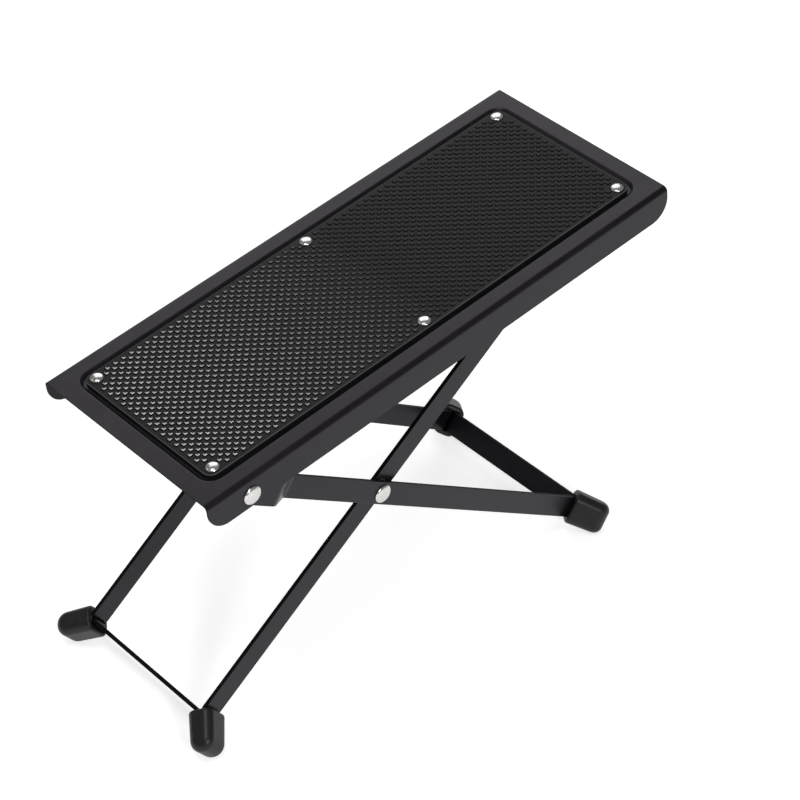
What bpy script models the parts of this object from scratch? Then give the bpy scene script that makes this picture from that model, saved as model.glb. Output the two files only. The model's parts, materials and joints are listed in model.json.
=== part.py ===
"""Folding guitar footrest: a tread plate carried by two U-shaped strip frames that cross like scissors.

Lengths are in metres and +Z is up. +X runs from the low end of the tread to its high end, and -Y is the
near side. The footrest stands open at its highest setting, and the origin is under the middle of its
bounding box, on the floor.

The plate, the rear frame and the front frame each have an empty on the joint that carries them, and their
pieces are modelled in that empty's axes.
"""

import math

import bmesh
import bpy
from mathutils import Matrix, Vector

# Fits
FIT_GAP = 0.0003
RIVET_GAP = 0.0002
ROD_GAP = 0.00035
OVERRUN = 0.002
MERGE_DISTANCE = 0.000001

# Tread plate, bent from one sheet, with the flanges measured from its top face
PLATE_LENGTH = 0.273
PLATE_WIDTH = 0.111
SHEET_THICKNESS = 0.001
FLANGE_DEPTH = 0.0156
FLANGE_BEND_RADIUS = 0.0024
FLANGE_CORNER_RADIUS = 0.010

# Rubber mat, and the recess that is pressed into the plate for it
MAT_LOW_MARGIN = 0.0114
MAT_HIGH_MARGIN = 0.011
MAT_SIDE_MARGIN = 0.01185
MAT_CORNER_RADIUS = 0.0047
MAT_THICKNESS = 0.0017
MAT_BORDER = 0.0019
MAT_STUD_HEIGHT = 0.0005
MAT_STUD_SLOPE = 0.0007
MAT_STUD_COLUMNS = 37
MAT_STUD_ROWS = 13
RECESS_DEPTH = 0.0015
RECESS_MARGIN = 0.001
RECESS_SLOPE = 0.0021

# Six rivets that hold the mat, measured from its edges
MAT_RIVET_END_INSET = 0.005
MAT_RIVET_SIDE_INSET = 0.00425
MAT_RIVET_HEAD_RADIUS = 0.00305
MAT_RIVET_HEAD_HEIGHT = 0.0013
MAT_RIVET_SHANK_RADIUS = 0.0014
MAT_RIVET_TAIL_RADIUS = 0.0021
MAT_RIVET_TAIL_HEIGHT = 0.0005
MAT_RIVET_RELIEF = 0.0006

# Steel strip of both frames
STRIP_WIDTH = 0.0113
STRIP_THICKNESS = 0.002
STRIP_BEND_RADIUS = 0.003

# Linkage: the plate pivot, the scissor rivet and the height rod
PIVOT_INSET = 0.0228
PIVOT_DEPTH = 0.0095
SCISSOR_REACH = 0.0987
ROD_REACH = 0.1234
ROD_SEAT_REACH = 0.1819

# How far each crossbar stands past the plate's end when the footrest is folded
REAR_OVERHANG = 0.0022
FRONT_OVERHANG = 0.0057

# Joggle that brings the rear frame in from the flanges
JOGGLE_START = 0.0192
JOGGLE_RUN = 0.0139
JOGGLE_OFFSET = 0.0088
JOGGLE_RADIUS = 0.006

# Ear at each corner of a frame: the strip folded back on itself, square to the corner's diagonal
EAR_SLIT = 0.0008
EAR_REACH = 0.0115

# Rubber foot cap, measured along that diagonal from the frame's sharp outer corner
CAP_MOUTH = 0.0026
CAP_TIP = 0.0167
CAP_HALF_THICKNESS = 0.0059
CAP_HALF_WIDTH = 0.00795
CAP_TIP_RADIUS = 0.0057
CAP_SIDE_RADIUS = 0.004
CAP_LIP_RADIUS = 0.0015
CAP_MOUTH_SHARE = 1.05
CAP_SOLE_CUT = 0.0005
POCKET_FLARE = 0.0006

# Point of each cap, along the same diagonal, whose height above the floor is the same at all four
STAND_REACH = 0.0066

# Rivets and washers of the joints
RIVET_HEAD_RADIUS = 0.00455
RIVET_HEAD_HEIGHT = 0.0016
RIVET_SHANK_RADIUS = 0.0024
RIVET_TAIL_RADIUS = 0.0035
RIVET_TAIL_HEIGHT = 0.0008
PIVOT_WASHER_RADIUS = 0.005
PIVOT_WASHER_THICKNESS = 0.001
SCISSOR_WASHER_RADIUS = 0.0055
SCISSOR_WASHER_THICKNESS = 0.0014

# Height rod
ROD_RADIUS = 0.0025
ROD_NECK_RADIUS = 0.002
ROD_HEAD_RADIUS = 0.0029
ROD_HEAD_HEIGHT = 0.0008

# Notch racks under the plate
RACK_HEIGHT = 0.0067
RACK_THICKNESS = 0.0015
RACK_BEND_RADIUS = 0.002
RACK_SIDE_GAP = 0.0034
RACK_FLANGE_WIDTH = 0.0095
RACK_END_MARGIN = 0.004
RACK_CORNER_RADIUS = 0.002
NOTCH_COUNT = 4
NOTCH_PITCH = 0.0085
NOTCH_WIDTH = 0.0053
NOTCH_DEPTH = 0.0044

# Roundness of the shapes
ARC_STEP = math.radians(15)
SMOOTH_LIMIT = math.radians(32)
END_STEPS = 8
BEND_STEPS = 6
DOME_STEPS = 5
RIVET_SIDES = 20
MAT_RIVET_SIDES = 16
WASHER_SIDES = 24
CAP_TIP_STEPS = 6
CAP_SIDE_STEPS = 5
CAP_LIP_STEPS = 2

# Form of the pressed slope round the recess: pairs of share across and share down
RECESS_SLOPE_SHARES = ((0, 0), (0.3, 0.12), (0.5, 0.5), (0.7, 0.88), (1, 1))
# Shares that keep a rounding just short of the length that it may use up
END_ROUND_SHARE = 0.99
HAIRPIN_SHARE = 0.98
# Radius of a rivet's tail where it has been peened flat
TAIL_ROUND_SHARE = 0.75

SIDES = {"near": -1, "far": 1}

# Places along the plate, with the plate pivot at zero
LOW_END = -PIVOT_INSET
HIGH_END = PLATE_LENGTH - PIVOT_INSET
TREAD_TOP = PIVOT_DEPTH
FLANGE_BOTTOM = TREAD_TOP - FLANGE_DEPTH
MAT_LOW = LOW_END + MAT_LOW_MARGIN
MAT_HIGH = HIGH_END - MAT_HIGH_MARGIN
MAT_HALF_WIDTH = PLATE_WIDTH / 2 - MAT_SIDE_MARGIN
MAT_BOTTOM = TREAD_TOP - RECESS_DEPTH + FIT_GAP
MAT_BORDER_TOP = MAT_BOTTOM + MAT_THICKNESS
RECESS_UNDERSIDE = TREAD_TOP - RECESS_DEPTH - SHEET_THICKNESS

# Half widths of the frames, from the flanges inwards
TAB_OUTER = PLATE_WIDTH / 2 - SHEET_THICKNESS - FIT_GAP
REAR_OUTER = TAB_OUTER - JOGGLE_OFFSET
REAR_INNER = REAR_OUTER - STRIP_THICKNESS
FRONT_OUTER = REAR_INNER - SCISSOR_WASHER_THICKNESS - 2 * FIT_GAP
FRONT_INNER = FRONT_OUTER - STRIP_THICKNESS
RACK_OUTER = FRONT_INNER - RACK_SIDE_GAP

# Racks and rod, with the rod just under the tips of the teeth
RACK_TOP = RECESS_UNDERSIDE - FIT_GAP
TOOTH_TIP = RACK_TOP - RACK_HEIGHT
ROD_DROP = ROD_GAP + ROD_RADIUS - TOOTH_TIP

# Legs, each measured from its joint to the outer face of its crossbar
REAR_LEG = PLATE_LENGTH - PIVOT_INSET + REAR_OVERHANG
FRONT_LEG = PIVOT_INSET + SCISSOR_REACH + FRONT_OVERHANG

# The ear's two runs
EAR_HALF_PITCH = (EAR_SLIT + STRIP_THICKNESS) / 2
EAR_HALF_THICKNESS = EAR_SLIT / 2 + STRIP_THICKNESS
DIAGONAL = math.sqrt(0.5)


def clear_scene():
    """Remove every object that the scene starts with."""
    for obj in list(bpy.data.objects):
        bpy.data.objects.remove(obj, do_unlink=True)


def make_material(name, colour, roughness, metallic):
    """Make a Principled material from a linear colour, a roughness and a metallic value."""
    material = bpy.data.materials.new(name)
    material.use_nodes = True
    shader = material.node_tree.nodes["Principled BSDF"]
    shader.inputs["Base Color"].default_value = (*colour, 1.0)
    shader.inputs["Roughness"].default_value = roughness
    shader.inputs["Metallic"].default_value = metallic
    return material


def add_empty(name, parent, location, tilt):
    """Add an empty that stands on a joint, turned about the Y axis."""
    empty = bpy.data.objects.new(name, None)
    empty.parent = parent
    empty.location = location
    empty.rotation_euler = (0.0, tilt, 0.0)
    bpy.context.collection.objects.link(empty)
    return empty


def make_mesh(name, bm):
    """Turn a bmesh into a mesh that is smooth but for its sharp edges."""
    mesh = bpy.data.meshes.new(name)
    bmesh.ops.recalc_face_normals(bm, faces=bm.faces)
    bm.to_mesh(mesh)
    bm.free()
    mesh.shade_smooth()
    mesh.set_sharp_from_angle(angle=SMOOTH_LIMIT)
    return mesh


def add_piece(name, mesh, material, parent, location=(0.0, 0.0, 0.0), turn=(0.0, 0.0, 0.0)):
    """Add a piece of the footrest to a frame of axes, at its place there."""
    piece = bpy.data.objects.new(name, mesh)
    if not mesh.materials:
        mesh.materials.append(material)
    piece.parent = parent
    piece.location = location
    piece.rotation_euler = turn
    bpy.context.collection.objects.link(piece)
    return piece


def add_cutter(name, mesh, parent, location=(0.0, 0.0, 0.0), turn=(0.0, 0.0, 0.0)):
    """Add a shape that only cuts or joins others."""
    cutter = bpy.data.objects.new(name, mesh)
    cutter.parent = parent
    cutter.location = location
    cutter.rotation_euler = turn
    cutter.hide_render = True
    cutter.display_type = "WIRE"
    bpy.context.collection.objects.link(cutter)
    return cutter


def combine(piece, cutter, operation="DIFFERENCE"):
    """Cut a piece with another shape, or join the shape to it."""
    modifier = piece.modifiers.new(cutter.name, "BOOLEAN")
    modifier.operation = operation
    modifier.solver = "EXACT"
    modifier.object = cutter


def arc(centre, radii, start, end, steps):
    """Points of an arc or a quarter of an ellipse, from one angle to another."""
    angles = [start + (end - start) * step / steps for step in range(steps + 1)]
    return [
        (centre[0] + radii[0] * math.cos(angle), centre[1] + radii[1] * math.sin(angle))
        for angle in angles
    ]


def lofted(loops):
    """Join closed loops of equal count in order, and close both ends."""
    bm = bmesh.new()
    rings = [[bm.verts.new(point) for point in loop] for loop in loops]
    for ring, following in zip(rings, rings[1:]):
        for index, vert in enumerate(ring):
            beside = (index + 1) % len(ring)
            bm.faces.new((vert, ring[beside], following[beside], following[index]))
    bm.faces.new(rings[0])
    bm.faces.new(rings[-1])
    return bm


def round_edges(bm, edges, radius, steps):
    """Round a set of edges with one radius."""
    bmesh.ops.bevel(
        bm,
        geom=edges,
        offset=radius,
        offset_type="OFFSET",
        segments=steps,
        profile=0.5,
        affect="EDGES",
    )


def turned(profile, sides):
    """Turn a profile of (along, out) points round the X axis into one closed body."""
    bm = bmesh.new()
    verts = [bm.verts.new((along, out, 0.0)) for along, out in profile]
    edges = [bm.edges.new(pair) for pair in zip(verts, verts[1:])]
    bmesh.ops.spin(
        bm,
        geom=verts + edges,
        cent=(0.0, 0.0, 0.0),
        axis=(1.0, 0.0, 0.0),
        angle=math.tau,
        steps=sides,
    )
    bmesh.ops.remove_doubles(bm, verts=bm.verts, dist=MERGE_DISTANCE)
    return bm


def repeated(mesh, places):
    """One mesh that holds a copy of a mesh at each place."""
    bm = bmesh.new()
    for place in places:
        before = len(bm.verts)
        bm.from_mesh(mesh)
        bm.verts.ensure_lookup_table()
        bmesh.ops.translate(bm, verts=bm.verts[before:], vec=place)
    return make_mesh(mesh.name + "_set", bm)


def cross_hole(name, parent, along, height, radius):
    """Cutter for a hole that runs right across the footrest."""
    half = PLATE_WIDTH / 2 + OVERRUN
    profile = [(-half, 0.0), (-half, radius), (half, radius), (half, 0.0)]
    mesh = make_mesh(name, turned(profile, RIVET_SIDES))
    return add_cutter(name, mesh, parent, (along, 0.0, height), (0.0, 0.0, math.pi / 2))


def rivet_profile(head_radius, head_height, shank_radius, tail_radius, tail_height, grip):
    """Profile of a domed rivet that holds a pile of the given thickness, from head to tail."""
    dome = arc((RIVET_GAP, 0.0), (head_height, head_radius), 0.0, math.pi / 2, DOME_STEPS)
    tail = -grip - RIVET_GAP
    return dome + [
        (RIVET_GAP, shank_radius),
        (tail, shank_radius),
        (tail, tail_radius),
        (tail - tail_height, tail_radius * TAIL_ROUND_SHARE),
        (tail - tail_height, 0.0),
    ]


def washer_mesh(name, radius, thickness):
    """Flat washer on a joint's rivet, centred on its own thickness."""
    bore = RIVET_SHANK_RADIUS + RIVET_GAP
    half = thickness / 2
    profile = [(half, bore), (half, radius), (-half, radius), (-half, bore), (half, bore)]
    return make_mesh(name, turned(profile, WASHER_SIDES))


def rounded_rectangle(low, high, half_width, radius, height):
    """Level loop of points with round corners, from the near low corner round."""
    loop = []
    corners = (
        (low + radius, -half_width + radius, math.pi),
        (high - radius, -half_width + radius, -math.pi / 2),
        (high - radius, half_width - radius, 0.0),
        (low + radius, half_width - radius, math.pi / 2),
    )
    for along, across, start in corners:
        quarter = arc((along, across), (radius, radius), start, start + math.pi / 2, BEND_STEPS)
        loop += [(x, y, height) for x, y in quarter]
    return loop


def mat_loop(margin, height):
    """Loop that runs a margin outside the mat's edge, or inside where the margin is negative."""
    return rounded_rectangle(
        MAT_LOW - margin,
        MAT_HIGH + margin,
        MAT_HALF_WIDTH + margin,
        MAT_CORNER_RADIUS + max(margin, -MAT_CORNER_RADIUS / 2),
        height,
    )


def recess_loops(drop):
    """Loops down the pressed slope, lowered by a drop that is zero on the upper face."""
    loops = []
    for across_share, down_share in RECESS_SLOPE_SHARES:
        margin = RECESS_MARGIN + RECESS_SLOPE * (1 - across_share)
        loops.append(mat_loop(margin, TREAD_TOP - drop - RECESS_DEPTH * down_share))
    return loops


def channel_outline(along):
    """Section of the bent sheet at one place along it, outer face first."""
    half = PLATE_WIDTH / 2
    outer = FLANGE_BEND_RADIUS
    inner = FLANGE_BEND_RADIUS - SHEET_THICKNESS
    near_bend = (-half + outer, TREAD_TOP - outer)
    far_bend = (half - outer, TREAD_TOP - outer)
    section = [(-half, FLANGE_BOTTOM)]
    section += arc(near_bend, (outer, outer), math.pi, math.pi / 2, BEND_STEPS)
    section += arc(far_bend, (outer, outer), math.pi / 2, 0.0, BEND_STEPS)
    section += [(half, FLANGE_BOTTOM), (half - SHEET_THICKNESS, FLANGE_BOTTOM)]
    section += arc(far_bend, (inner, inner), 0.0, math.pi / 2, BEND_STEPS)
    section += arc(near_bend, (inner, inner), math.pi / 2, math.pi, BEND_STEPS)
    section += [(-half + SHEET_THICKNESS, FLANGE_BOTTOM)]
    return [(along, across, height) for across, height in section]


def build_top_plate(material, frame, rivet_cutter):
    """Tread plate with round flange ends, a pressed recess and its rivet holes."""
    bm = lofted([channel_outline(LOW_END), channel_outline(HIGH_END)])
    corners = []
    for edge in bm.edges:
        first, second = (vert.co for vert in edge.verts)
        at_bottom = max(first.z, second.z) < FLANGE_BOTTOM + MERGE_DISTANCE
        if at_bottom and abs(first.x - second.x) < MERGE_DISTANCE:
            corners.append(edge)
    round_edges(bm, corners, FLANGE_CORNER_RADIUS, END_STEPS)
    plate = add_piece("top_plate", make_mesh("top_plate", bm), material, frame)

    rim_margin = RECESS_MARGIN + RECESS_SLOPE
    inside_sheet = mat_loop(rim_margin, TREAD_TOP - SHEET_THICKNESS / 2)
    pan = make_mesh("recess_pan", lofted([inside_sheet] + recess_loops(SHEET_THICKNESS)))
    above = mat_loop(rim_margin, TREAD_TOP + OVERRUN)
    hollow = make_mesh("recess_hollow", lofted([above] + recess_loops(0.0)))
    combine(plate, add_cutter("recess_pan", pan, frame), "UNION")
    combine(plate, add_cutter("recess_hollow", hollow, frame))
    combine(plate, rivet_cutter)
    hole_radius = RIVET_SHANK_RADIUS + RIVET_GAP
    combine(plate, cross_hole("plate_pivot_hole", frame, 0.0, 0.0, hole_radius))


def mat_rivet_places():
    """Places of the six mat rivets, near row first, on the mat's border height."""
    first = MAT_LOW + MAT_RIVET_END_INSET
    last = MAT_HIGH - MAT_RIVET_END_INSET
    row = MAT_HALF_WIDTH - MAT_RIVET_SIDE_INSET
    return [
        (along, side * row, MAT_BORDER_TOP)
        for side in SIDES.values()
        for along in (first, (first + last) / 2, last)
    ]


def build_rivet_cutter(frame):
    """Cutter for the mat rivets' holes, wide above the mat's border and narrow below it."""
    wide = MAT_RIVET_HEAD_RADIUS + MAT_RIVET_RELIEF
    narrow = MAT_RIVET_SHANK_RADIUS + RIVET_GAP
    top = MAT_STUD_HEIGHT + OVERRUN
    bottom = -(MAT_THICKNESS + FIT_GAP + SHEET_THICKNESS + OVERRUN)
    profile = [(top, 0.0), (top, wide), (0.0, wide), (0.0, narrow), (bottom, narrow), (bottom, 0.0)]
    bm = turned(profile, MAT_RIVET_SIDES)
    upright = Matrix.Rotation(-math.pi / 2, 3, "Y")
    bmesh.ops.rotate(bm, verts=bm.verts, cent=(0.0, 0.0, 0.0), matrix=upright)
    one = make_mesh("mat_rivet_hole", bm)
    return add_cutter("mat_rivet_holes", repeated(one, mat_rivet_places()), frame)


def near_a_rivet(face):
    """Whether a square of the mat's field lies under a rivet's head."""
    along = [vert.co.x for vert in face.verts]
    across = [vert.co.y for vert in face.verts]
    for x, y, _ in mat_rivet_places():
        beside_x = x - min(max(x, min(along)), max(along))
        beside_y = y - min(max(y, min(across)), max(across))
        if math.hypot(beside_x, beside_y) < MAT_RIVET_HEAD_RADIUS + MAT_RIVET_RELIEF:
            return True
    return False


def add_stud_field(bm):
    """Close the mat's open top with a field of squares, every second one a blunt pyramid."""
    low = MAT_LOW + MAT_BORDER
    high = MAT_HIGH - MAT_BORDER
    half = MAT_HALF_WIDTH - MAT_BORDER
    rows = []
    for row in range(MAT_STUD_ROWS + 1):
        across = -half + 2 * half * row / MAT_STUD_ROWS
        places = [low + (high - low) * step / MAT_STUD_COLUMNS for step in range(MAT_STUD_COLUMNS + 1)]
        rows.append([bm.verts.new((along, across, MAT_BORDER_TOP)) for along in places])
    studs = []
    for row, (near, far) in enumerate(zip(rows, rows[1:])):
        for column in range(MAT_STUD_COLUMNS):
            face = bm.faces.new((near[column], near[column + 1], far[column + 1], far[column]))
            if (row + column) % 2 == 0 and not near_a_rivet(face):
                studs.append(face)
    open_edges = [edge for edge in bm.edges if len(edge.link_faces) == 1]
    bmesh.ops.triangle_fill(bm, edges=open_edges, use_beauty=True, normal=(0.0, 0.0, 1.0))
    bmesh.ops.inset_individual(bm, faces=studs, thickness=MAT_STUD_SLOPE, depth=MAT_STUD_HEIGHT)


def build_rubber_mat(material, frame, rivet_cutter):
    """Mat with a plain border and a field of blunt pyramids, open round its rivets."""
    bm = lofted([mat_loop(0.0, MAT_BOTTOM), mat_loop(0.0, MAT_BORDER_TOP)])
    middle = (MAT_BOTTOM + MAT_BORDER_TOP) / 2
    upper = [face for face in bm.faces if all(vert.co.z > middle for vert in face.verts)]
    bmesh.ops.delete(bm, geom=upper, context="FACES_ONLY")
    add_stud_field(bm)
    mat = add_piece("rubber_mat", make_mesh("rubber_mat", bm), material, frame)
    combine(mat, rivet_cutter)


def build_mat_rivets(material, frame):
    """Six domed rivets through the mat and the plate."""
    profile = rivet_profile(
        MAT_RIVET_HEAD_RADIUS,
        MAT_RIVET_HEAD_HEIGHT,
        MAT_RIVET_SHANK_RADIUS,
        MAT_RIVET_TAIL_RADIUS,
        MAT_RIVET_TAIL_HEIGHT,
        MAT_THICKNESS + FIT_GAP + SHEET_THICKNESS,
    )
    mesh = make_mesh("mat_rivet", turned(profile, MAT_RIVET_SIDES))
    for number, place in enumerate(mat_rivet_places(), start=1):
        add_piece(f"mat_rivet_{number}", mesh, material, frame, place, (0.0, -math.pi / 2, 0.0))


def rack_section(along):
    """Section of a rack at one place along it: a web that hangs from a welded flange."""
    outer = RACK_BEND_RADIUS
    inner = RACK_BEND_RADIUS - RACK_THICKNESS
    bend = (-RACK_OUTER + outer, RACK_TOP - outer)
    inside = -RACK_OUTER + RACK_FLANGE_WIDTH
    section = [(-RACK_OUTER, TOOTH_TIP)]
    section += arc(bend, (outer, outer), math.pi, math.pi / 2, BEND_STEPS)
    section += [(inside, RACK_TOP), (inside, RACK_TOP - RACK_THICKNESS)]
    section += arc(bend, (inner, inner), math.pi / 2, math.pi, BEND_STEPS)
    section += [(-RACK_OUTER + RACK_THICKNESS, TOOTH_TIP)]
    return [(along, across, height) for across, height in section]


def notch_cutter_mesh():
    """Cutters for a rack's notches, each with a round root, centred along the rack."""
    radius = NOTCH_WIDTH / 2
    root = TOOTH_TIP + NOTCH_DEPTH - radius
    outline = [(radius, TOOTH_TIP - OVERRUN)]
    outline += arc((0.0, root), (radius, radius), 0.0, math.pi, END_STEPS)
    outline += [(-radius, TOOTH_TIP - OVERRUN)]
    sides = (-RACK_OUTER - OVERRUN, -RACK_OUTER + RACK_THICKNESS + OVERRUN)
    loops = [[(along, across, height) for along, height in outline] for across in sides]
    one = make_mesh("rack_notch", lofted(loops))
    first = -NOTCH_PITCH * (NOTCH_COUNT - 1) / 2
    places = [(first + NOTCH_PITCH * index, 0.0, 0.0) for index in range(NOTCH_COUNT)]
    return repeated(one, places)


def build_racks(material, frame):
    """Two toothed racks welded under the plate, with the rod under their first notch."""
    half = (NOTCH_PITCH * (NOTCH_COUNT - 1) + NOTCH_WIDTH) / 2 + RACK_END_MARGIN
    middle = ROD_SEAT_REACH + NOTCH_PITCH * (NOTCH_COUNT - 1) / 2
    bm = lofted([rack_section(-half), rack_section(half)])
    corners = []
    for edge in bm.edges:
        first, second = (vert.co for vert in edge.verts)
        at_tip = max(first.z, second.z) < TOOTH_TIP + MERGE_DISTANCE
        if at_tip and abs(first.x - second.x) < MERGE_DISTANCE:
            corners.append(edge)
    round_edges(bm, corners, RACK_CORNER_RADIUS, DOME_STEPS)
    mesh = make_mesh("notch_rack", bm)
    notches = notch_cutter_mesh()
    for side_name, side in SIDES.items():
        turn = (0.0, 0.0, 0.0) if side < 0 else (0.0, 0.0, math.pi)
        place = (middle, 0.0, 0.0)
        rack = add_piece(f"notch_rack_{side_name}", mesh, material, frame, place, turn)
        combine(rack, add_cutter(f"rack_notches_{side_name}", notches, frame, place, turn))


def rounded_path(corners, radii):
    """Open path through corner points, each inner corner rounded with its own radius."""
    path = [Vector(corners[0])]
    for before, corner, after, radius in zip(corners, corners[1:], corners[2:], radii):
        ahead = (Vector(corner) - Vector(before)).normalized()
        onward = (Vector(after) - Vector(corner)).normalized()
        turn = math.atan2(ahead.x * onward.y - ahead.y * onward.x, ahead.dot(onward))
        start = Vector(corner) - ahead * radius * math.tan(abs(turn) / 2)
        spoke = Vector((ahead.y, -ahead.x)) * math.copysign(radius, turn)
        steps = max(1, round(abs(turn) / ARC_STEP))
        for step in range(steps + 1):
            path.append(start - spoke + Matrix.Rotation(turn * step / steps, 2) @ spoke)
    path.append(Vector(corners[-1]))
    return path


def strip_sections(path):
    """Rectangles of the strip along a path, kept square to it and of even thickness."""
    runs = [(after - before).normalized() for before, after in zip(path, path[1:])]
    sections = []
    for point, arriving, leaving in zip(path, runs[:1] + runs, runs + runs[-1:]):
        ahead = (arriving + leaving).normalized()
        reach = STRIP_THICKNESS / 2 / ahead.dot(leaving)
        side = Vector((-ahead.y, ahead.x)) * reach
        left = point + side
        right = point - side
        sections.append([
            (left.x, left.y, -STRIP_WIDTH / 2),
            (right.x, right.y, -STRIP_WIDTH / 2),
            (right.x, right.y, STRIP_WIDTH / 2),
            (left.x, left.y, STRIP_WIDTH / 2),
        ])
    return sections


def ear_point(corner, along, across):
    """Point near the near corner of a frame, along its diagonal and across it."""
    return (
        corner[0] + (along + across) * DIAGONAL,
        corner[1] + (across - along) * DIAGONAL,
    )


def frame_path(top_corners, top_radii, leg_length, outer_half):
    """Middle line of a frame's strip, from its near upper end round to its far upper end."""
    corner = (leg_length, -outer_half)
    root = -(STRIP_THICKNESS * DIAGONAL + EAR_HALF_PITCH)
    tip = EAR_REACH - STRIP_THICKNESS / 2
    ear = [
        ear_point(corner, root, -EAR_HALF_PITCH),
        ear_point(corner, tip, -EAR_HALF_PITCH),
        ear_point(corner, tip, EAR_HALF_PITCH),
        ear_point(corner, root, EAR_HALF_PITCH),
    ]
    hairpin = EAR_HALF_PITCH * HAIRPIN_SHARE
    near = top_corners + ear
    far = [(along, -across) for along, across in reversed(near)]
    near_radii = top_radii + [STRIP_BEND_RADIUS, hairpin, hairpin, STRIP_BEND_RADIUS]
    return rounded_path(near + far, near_radii + near_radii[::-1])


def frame_mesh(name, path):
    """Strip bent along a path, with both upper ends rounded."""
    bm = lofted(strip_sections(path))
    bm.verts.ensure_lookup_table()
    ends = (bm.verts[:4], bm.verts[-4:])
    edges = []
    for left_low, right_low, right_high, left_high in ends:
        edges.append(bm.edges.get((left_low, right_low)))
        edges.append(bm.edges.get((right_high, left_high)))
    round_edges(bm, edges, STRIP_WIDTH / 2 * END_ROUND_SHARE, END_STEPS)
    return make_mesh(name, bm)


def build_rear_leg_frame(material, frame):
    """Wide frame, joggled out to the flanges at its upper ends."""
    tab = -TAB_OUTER + STRIP_THICKNESS / 2
    leg = -REAR_OUTER + STRIP_THICKNESS / 2
    top = [(-STRIP_WIDTH / 2, tab), (JOGGLE_START, tab), (JOGGLE_START + JOGGLE_RUN, leg)]
    path = frame_path(top, [JOGGLE_RADIUS, JOGGLE_RADIUS], REAR_LEG, REAR_OUTER)
    piece = add_piece("rear_leg_frame", frame_mesh("rear_leg_frame", path), material, frame)
    hole_radius = RIVET_SHANK_RADIUS + RIVET_GAP
    combine(piece, cross_hole("rear_pivot_hole", frame, 0.0, 0.0, hole_radius))
    combine(piece, cross_hole("rear_scissor_hole", frame, SCISSOR_REACH, 0.0, hole_radius))


def build_front_leg_frame(material, frame):
    """Narrow straight frame that carries the height rod at its upper ends."""
    leg = -FRONT_OUTER + STRIP_THICKNESS / 2
    top = [(-ROD_REACH - STRIP_WIDTH / 2, leg)]
    path = frame_path(top, [], FRONT_LEG, FRONT_OUTER)
    piece = add_piece("front_leg_frame", frame_mesh("front_leg_frame", path), material, frame)
    scissor_radius = RIVET_SHANK_RADIUS + RIVET_GAP
    combine(piece, cross_hole("front_scissor_hole", frame, 0.0, 0.0, scissor_radius))
    neck_radius = ROD_NECK_RADIUS + RIVET_GAP
    combine(piece, cross_hole("front_rod_hole", frame, -ROD_REACH, 0.0, neck_radius))


def joint_rivet_mesh(name, grip):
    """Domed rivet of a joint, with its head's seat at zero."""
    profile = rivet_profile(
        RIVET_HEAD_RADIUS,
        RIVET_HEAD_HEIGHT,
        RIVET_SHANK_RADIUS,
        RIVET_TAIL_RADIUS,
        RIVET_TAIL_HEIGHT,
        grip,
    )
    return make_mesh(name, turned(profile, RIVET_SIDES))


def build_plate_pivots(rivet_material, washer_material, plate_frame, rear_frame):
    """Rivets that join the flanges to the rear frame, each with a washer inside."""
    tab_inner = TAB_OUTER - STRIP_THICKNESS
    washer_middle = tab_inner - FIT_GAP - PIVOT_WASHER_THICKNESS / 2
    grip = PLATE_WIDTH / 2 - washer_middle + PIVOT_WASHER_THICKNESS / 2
    rivet = joint_rivet_mesh("plate_pivot_rivet", grip)
    washer = washer_mesh("plate_pivot_washer", PIVOT_WASHER_RADIUS, PIVOT_WASHER_THICKNESS)
    for side_name, side in SIDES.items():
        turn = (0.0, 0.0, side * math.pi / 2)
        seat = (0.0, side * PLATE_WIDTH / 2, 0.0)
        add_piece(f"plate_pivot_rivet_{side_name}", rivet, rivet_material, plate_frame, seat, turn)
        middle = (0.0, side * washer_middle, 0.0)
        add_piece(f"plate_pivot_washer_{side_name}", washer, washer_material, rear_frame, middle, turn)


def build_scissor_joints(rivet_material, washer_material, rear_frame):
    """Rivets where the two frames cross, each with a washer between the strips."""
    grip = REAR_OUTER - FRONT_INNER
    rivet = joint_rivet_mesh("scissor_rivet", grip)
    washer = washer_mesh("scissor_washer", SCISSOR_WASHER_RADIUS, SCISSOR_WASHER_THICKNESS)
    washer_middle = (REAR_INNER + FRONT_OUTER) / 2
    for side_name, side in SIDES.items():
        turn = (0.0, 0.0, side * math.pi / 2)
        seat = (SCISSOR_REACH, side * REAR_OUTER, 0.0)
        add_piece(f"scissor_rivet_{side_name}", rivet, rivet_material, rear_frame, seat, turn)
        middle = (SCISSOR_REACH, side * washer_middle, 0.0)
        add_piece(f"scissor_washer_{side_name}", washer, washer_material, rear_frame, middle, turn)


def build_height_rod(material, frame):
    """Rod across the front frame, with a neck in each strip and a peened head outside it."""
    shoulder = FRONT_INNER - FIT_GAP
    seat = FRONT_OUTER + RIVET_GAP
    head = arc((seat, 0.0), (ROD_HEAD_HEIGHT, ROD_HEAD_RADIUS), 0.0, math.pi / 2, DOME_STEPS)
    half = head + [(seat, ROD_NECK_RADIUS), (shoulder, ROD_NECK_RADIUS), (shoulder, ROD_RADIUS)]
    profile = half + [(-along, out) for along, out in reversed(half)]
    mesh = make_mesh("height_rod", turned(profile, RIVET_SIDES))
    turn = (0.0, 0.0, math.pi / 2)
    add_piece("height_rod", mesh, material, frame, (-ROD_REACH, 0.0, 0.0), turn)


def cap_outline(height):
    """Outline of a foot cap at one height, from its mouth round its tip and back."""
    middle = CAP_TIP - CAP_TIP_RADIUS
    side = CAP_HALF_THICKNESS - CAP_TIP_RADIUS
    radii = (CAP_TIP_RADIUS, CAP_TIP_RADIUS)
    outline = [(-CAP_MOUTH, -CAP_HALF_THICKNESS)]
    outline += arc((middle, -side), radii, -math.pi / 2, 0.0, CAP_TIP_STEPS)
    outline += arc((middle, side), radii, 0.0, math.pi / 2, CAP_TIP_STEPS)
    outline.append((-CAP_MOUTH, CAP_HALF_THICKNESS))
    return [(along, across, height) for along, across in outline]


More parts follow.
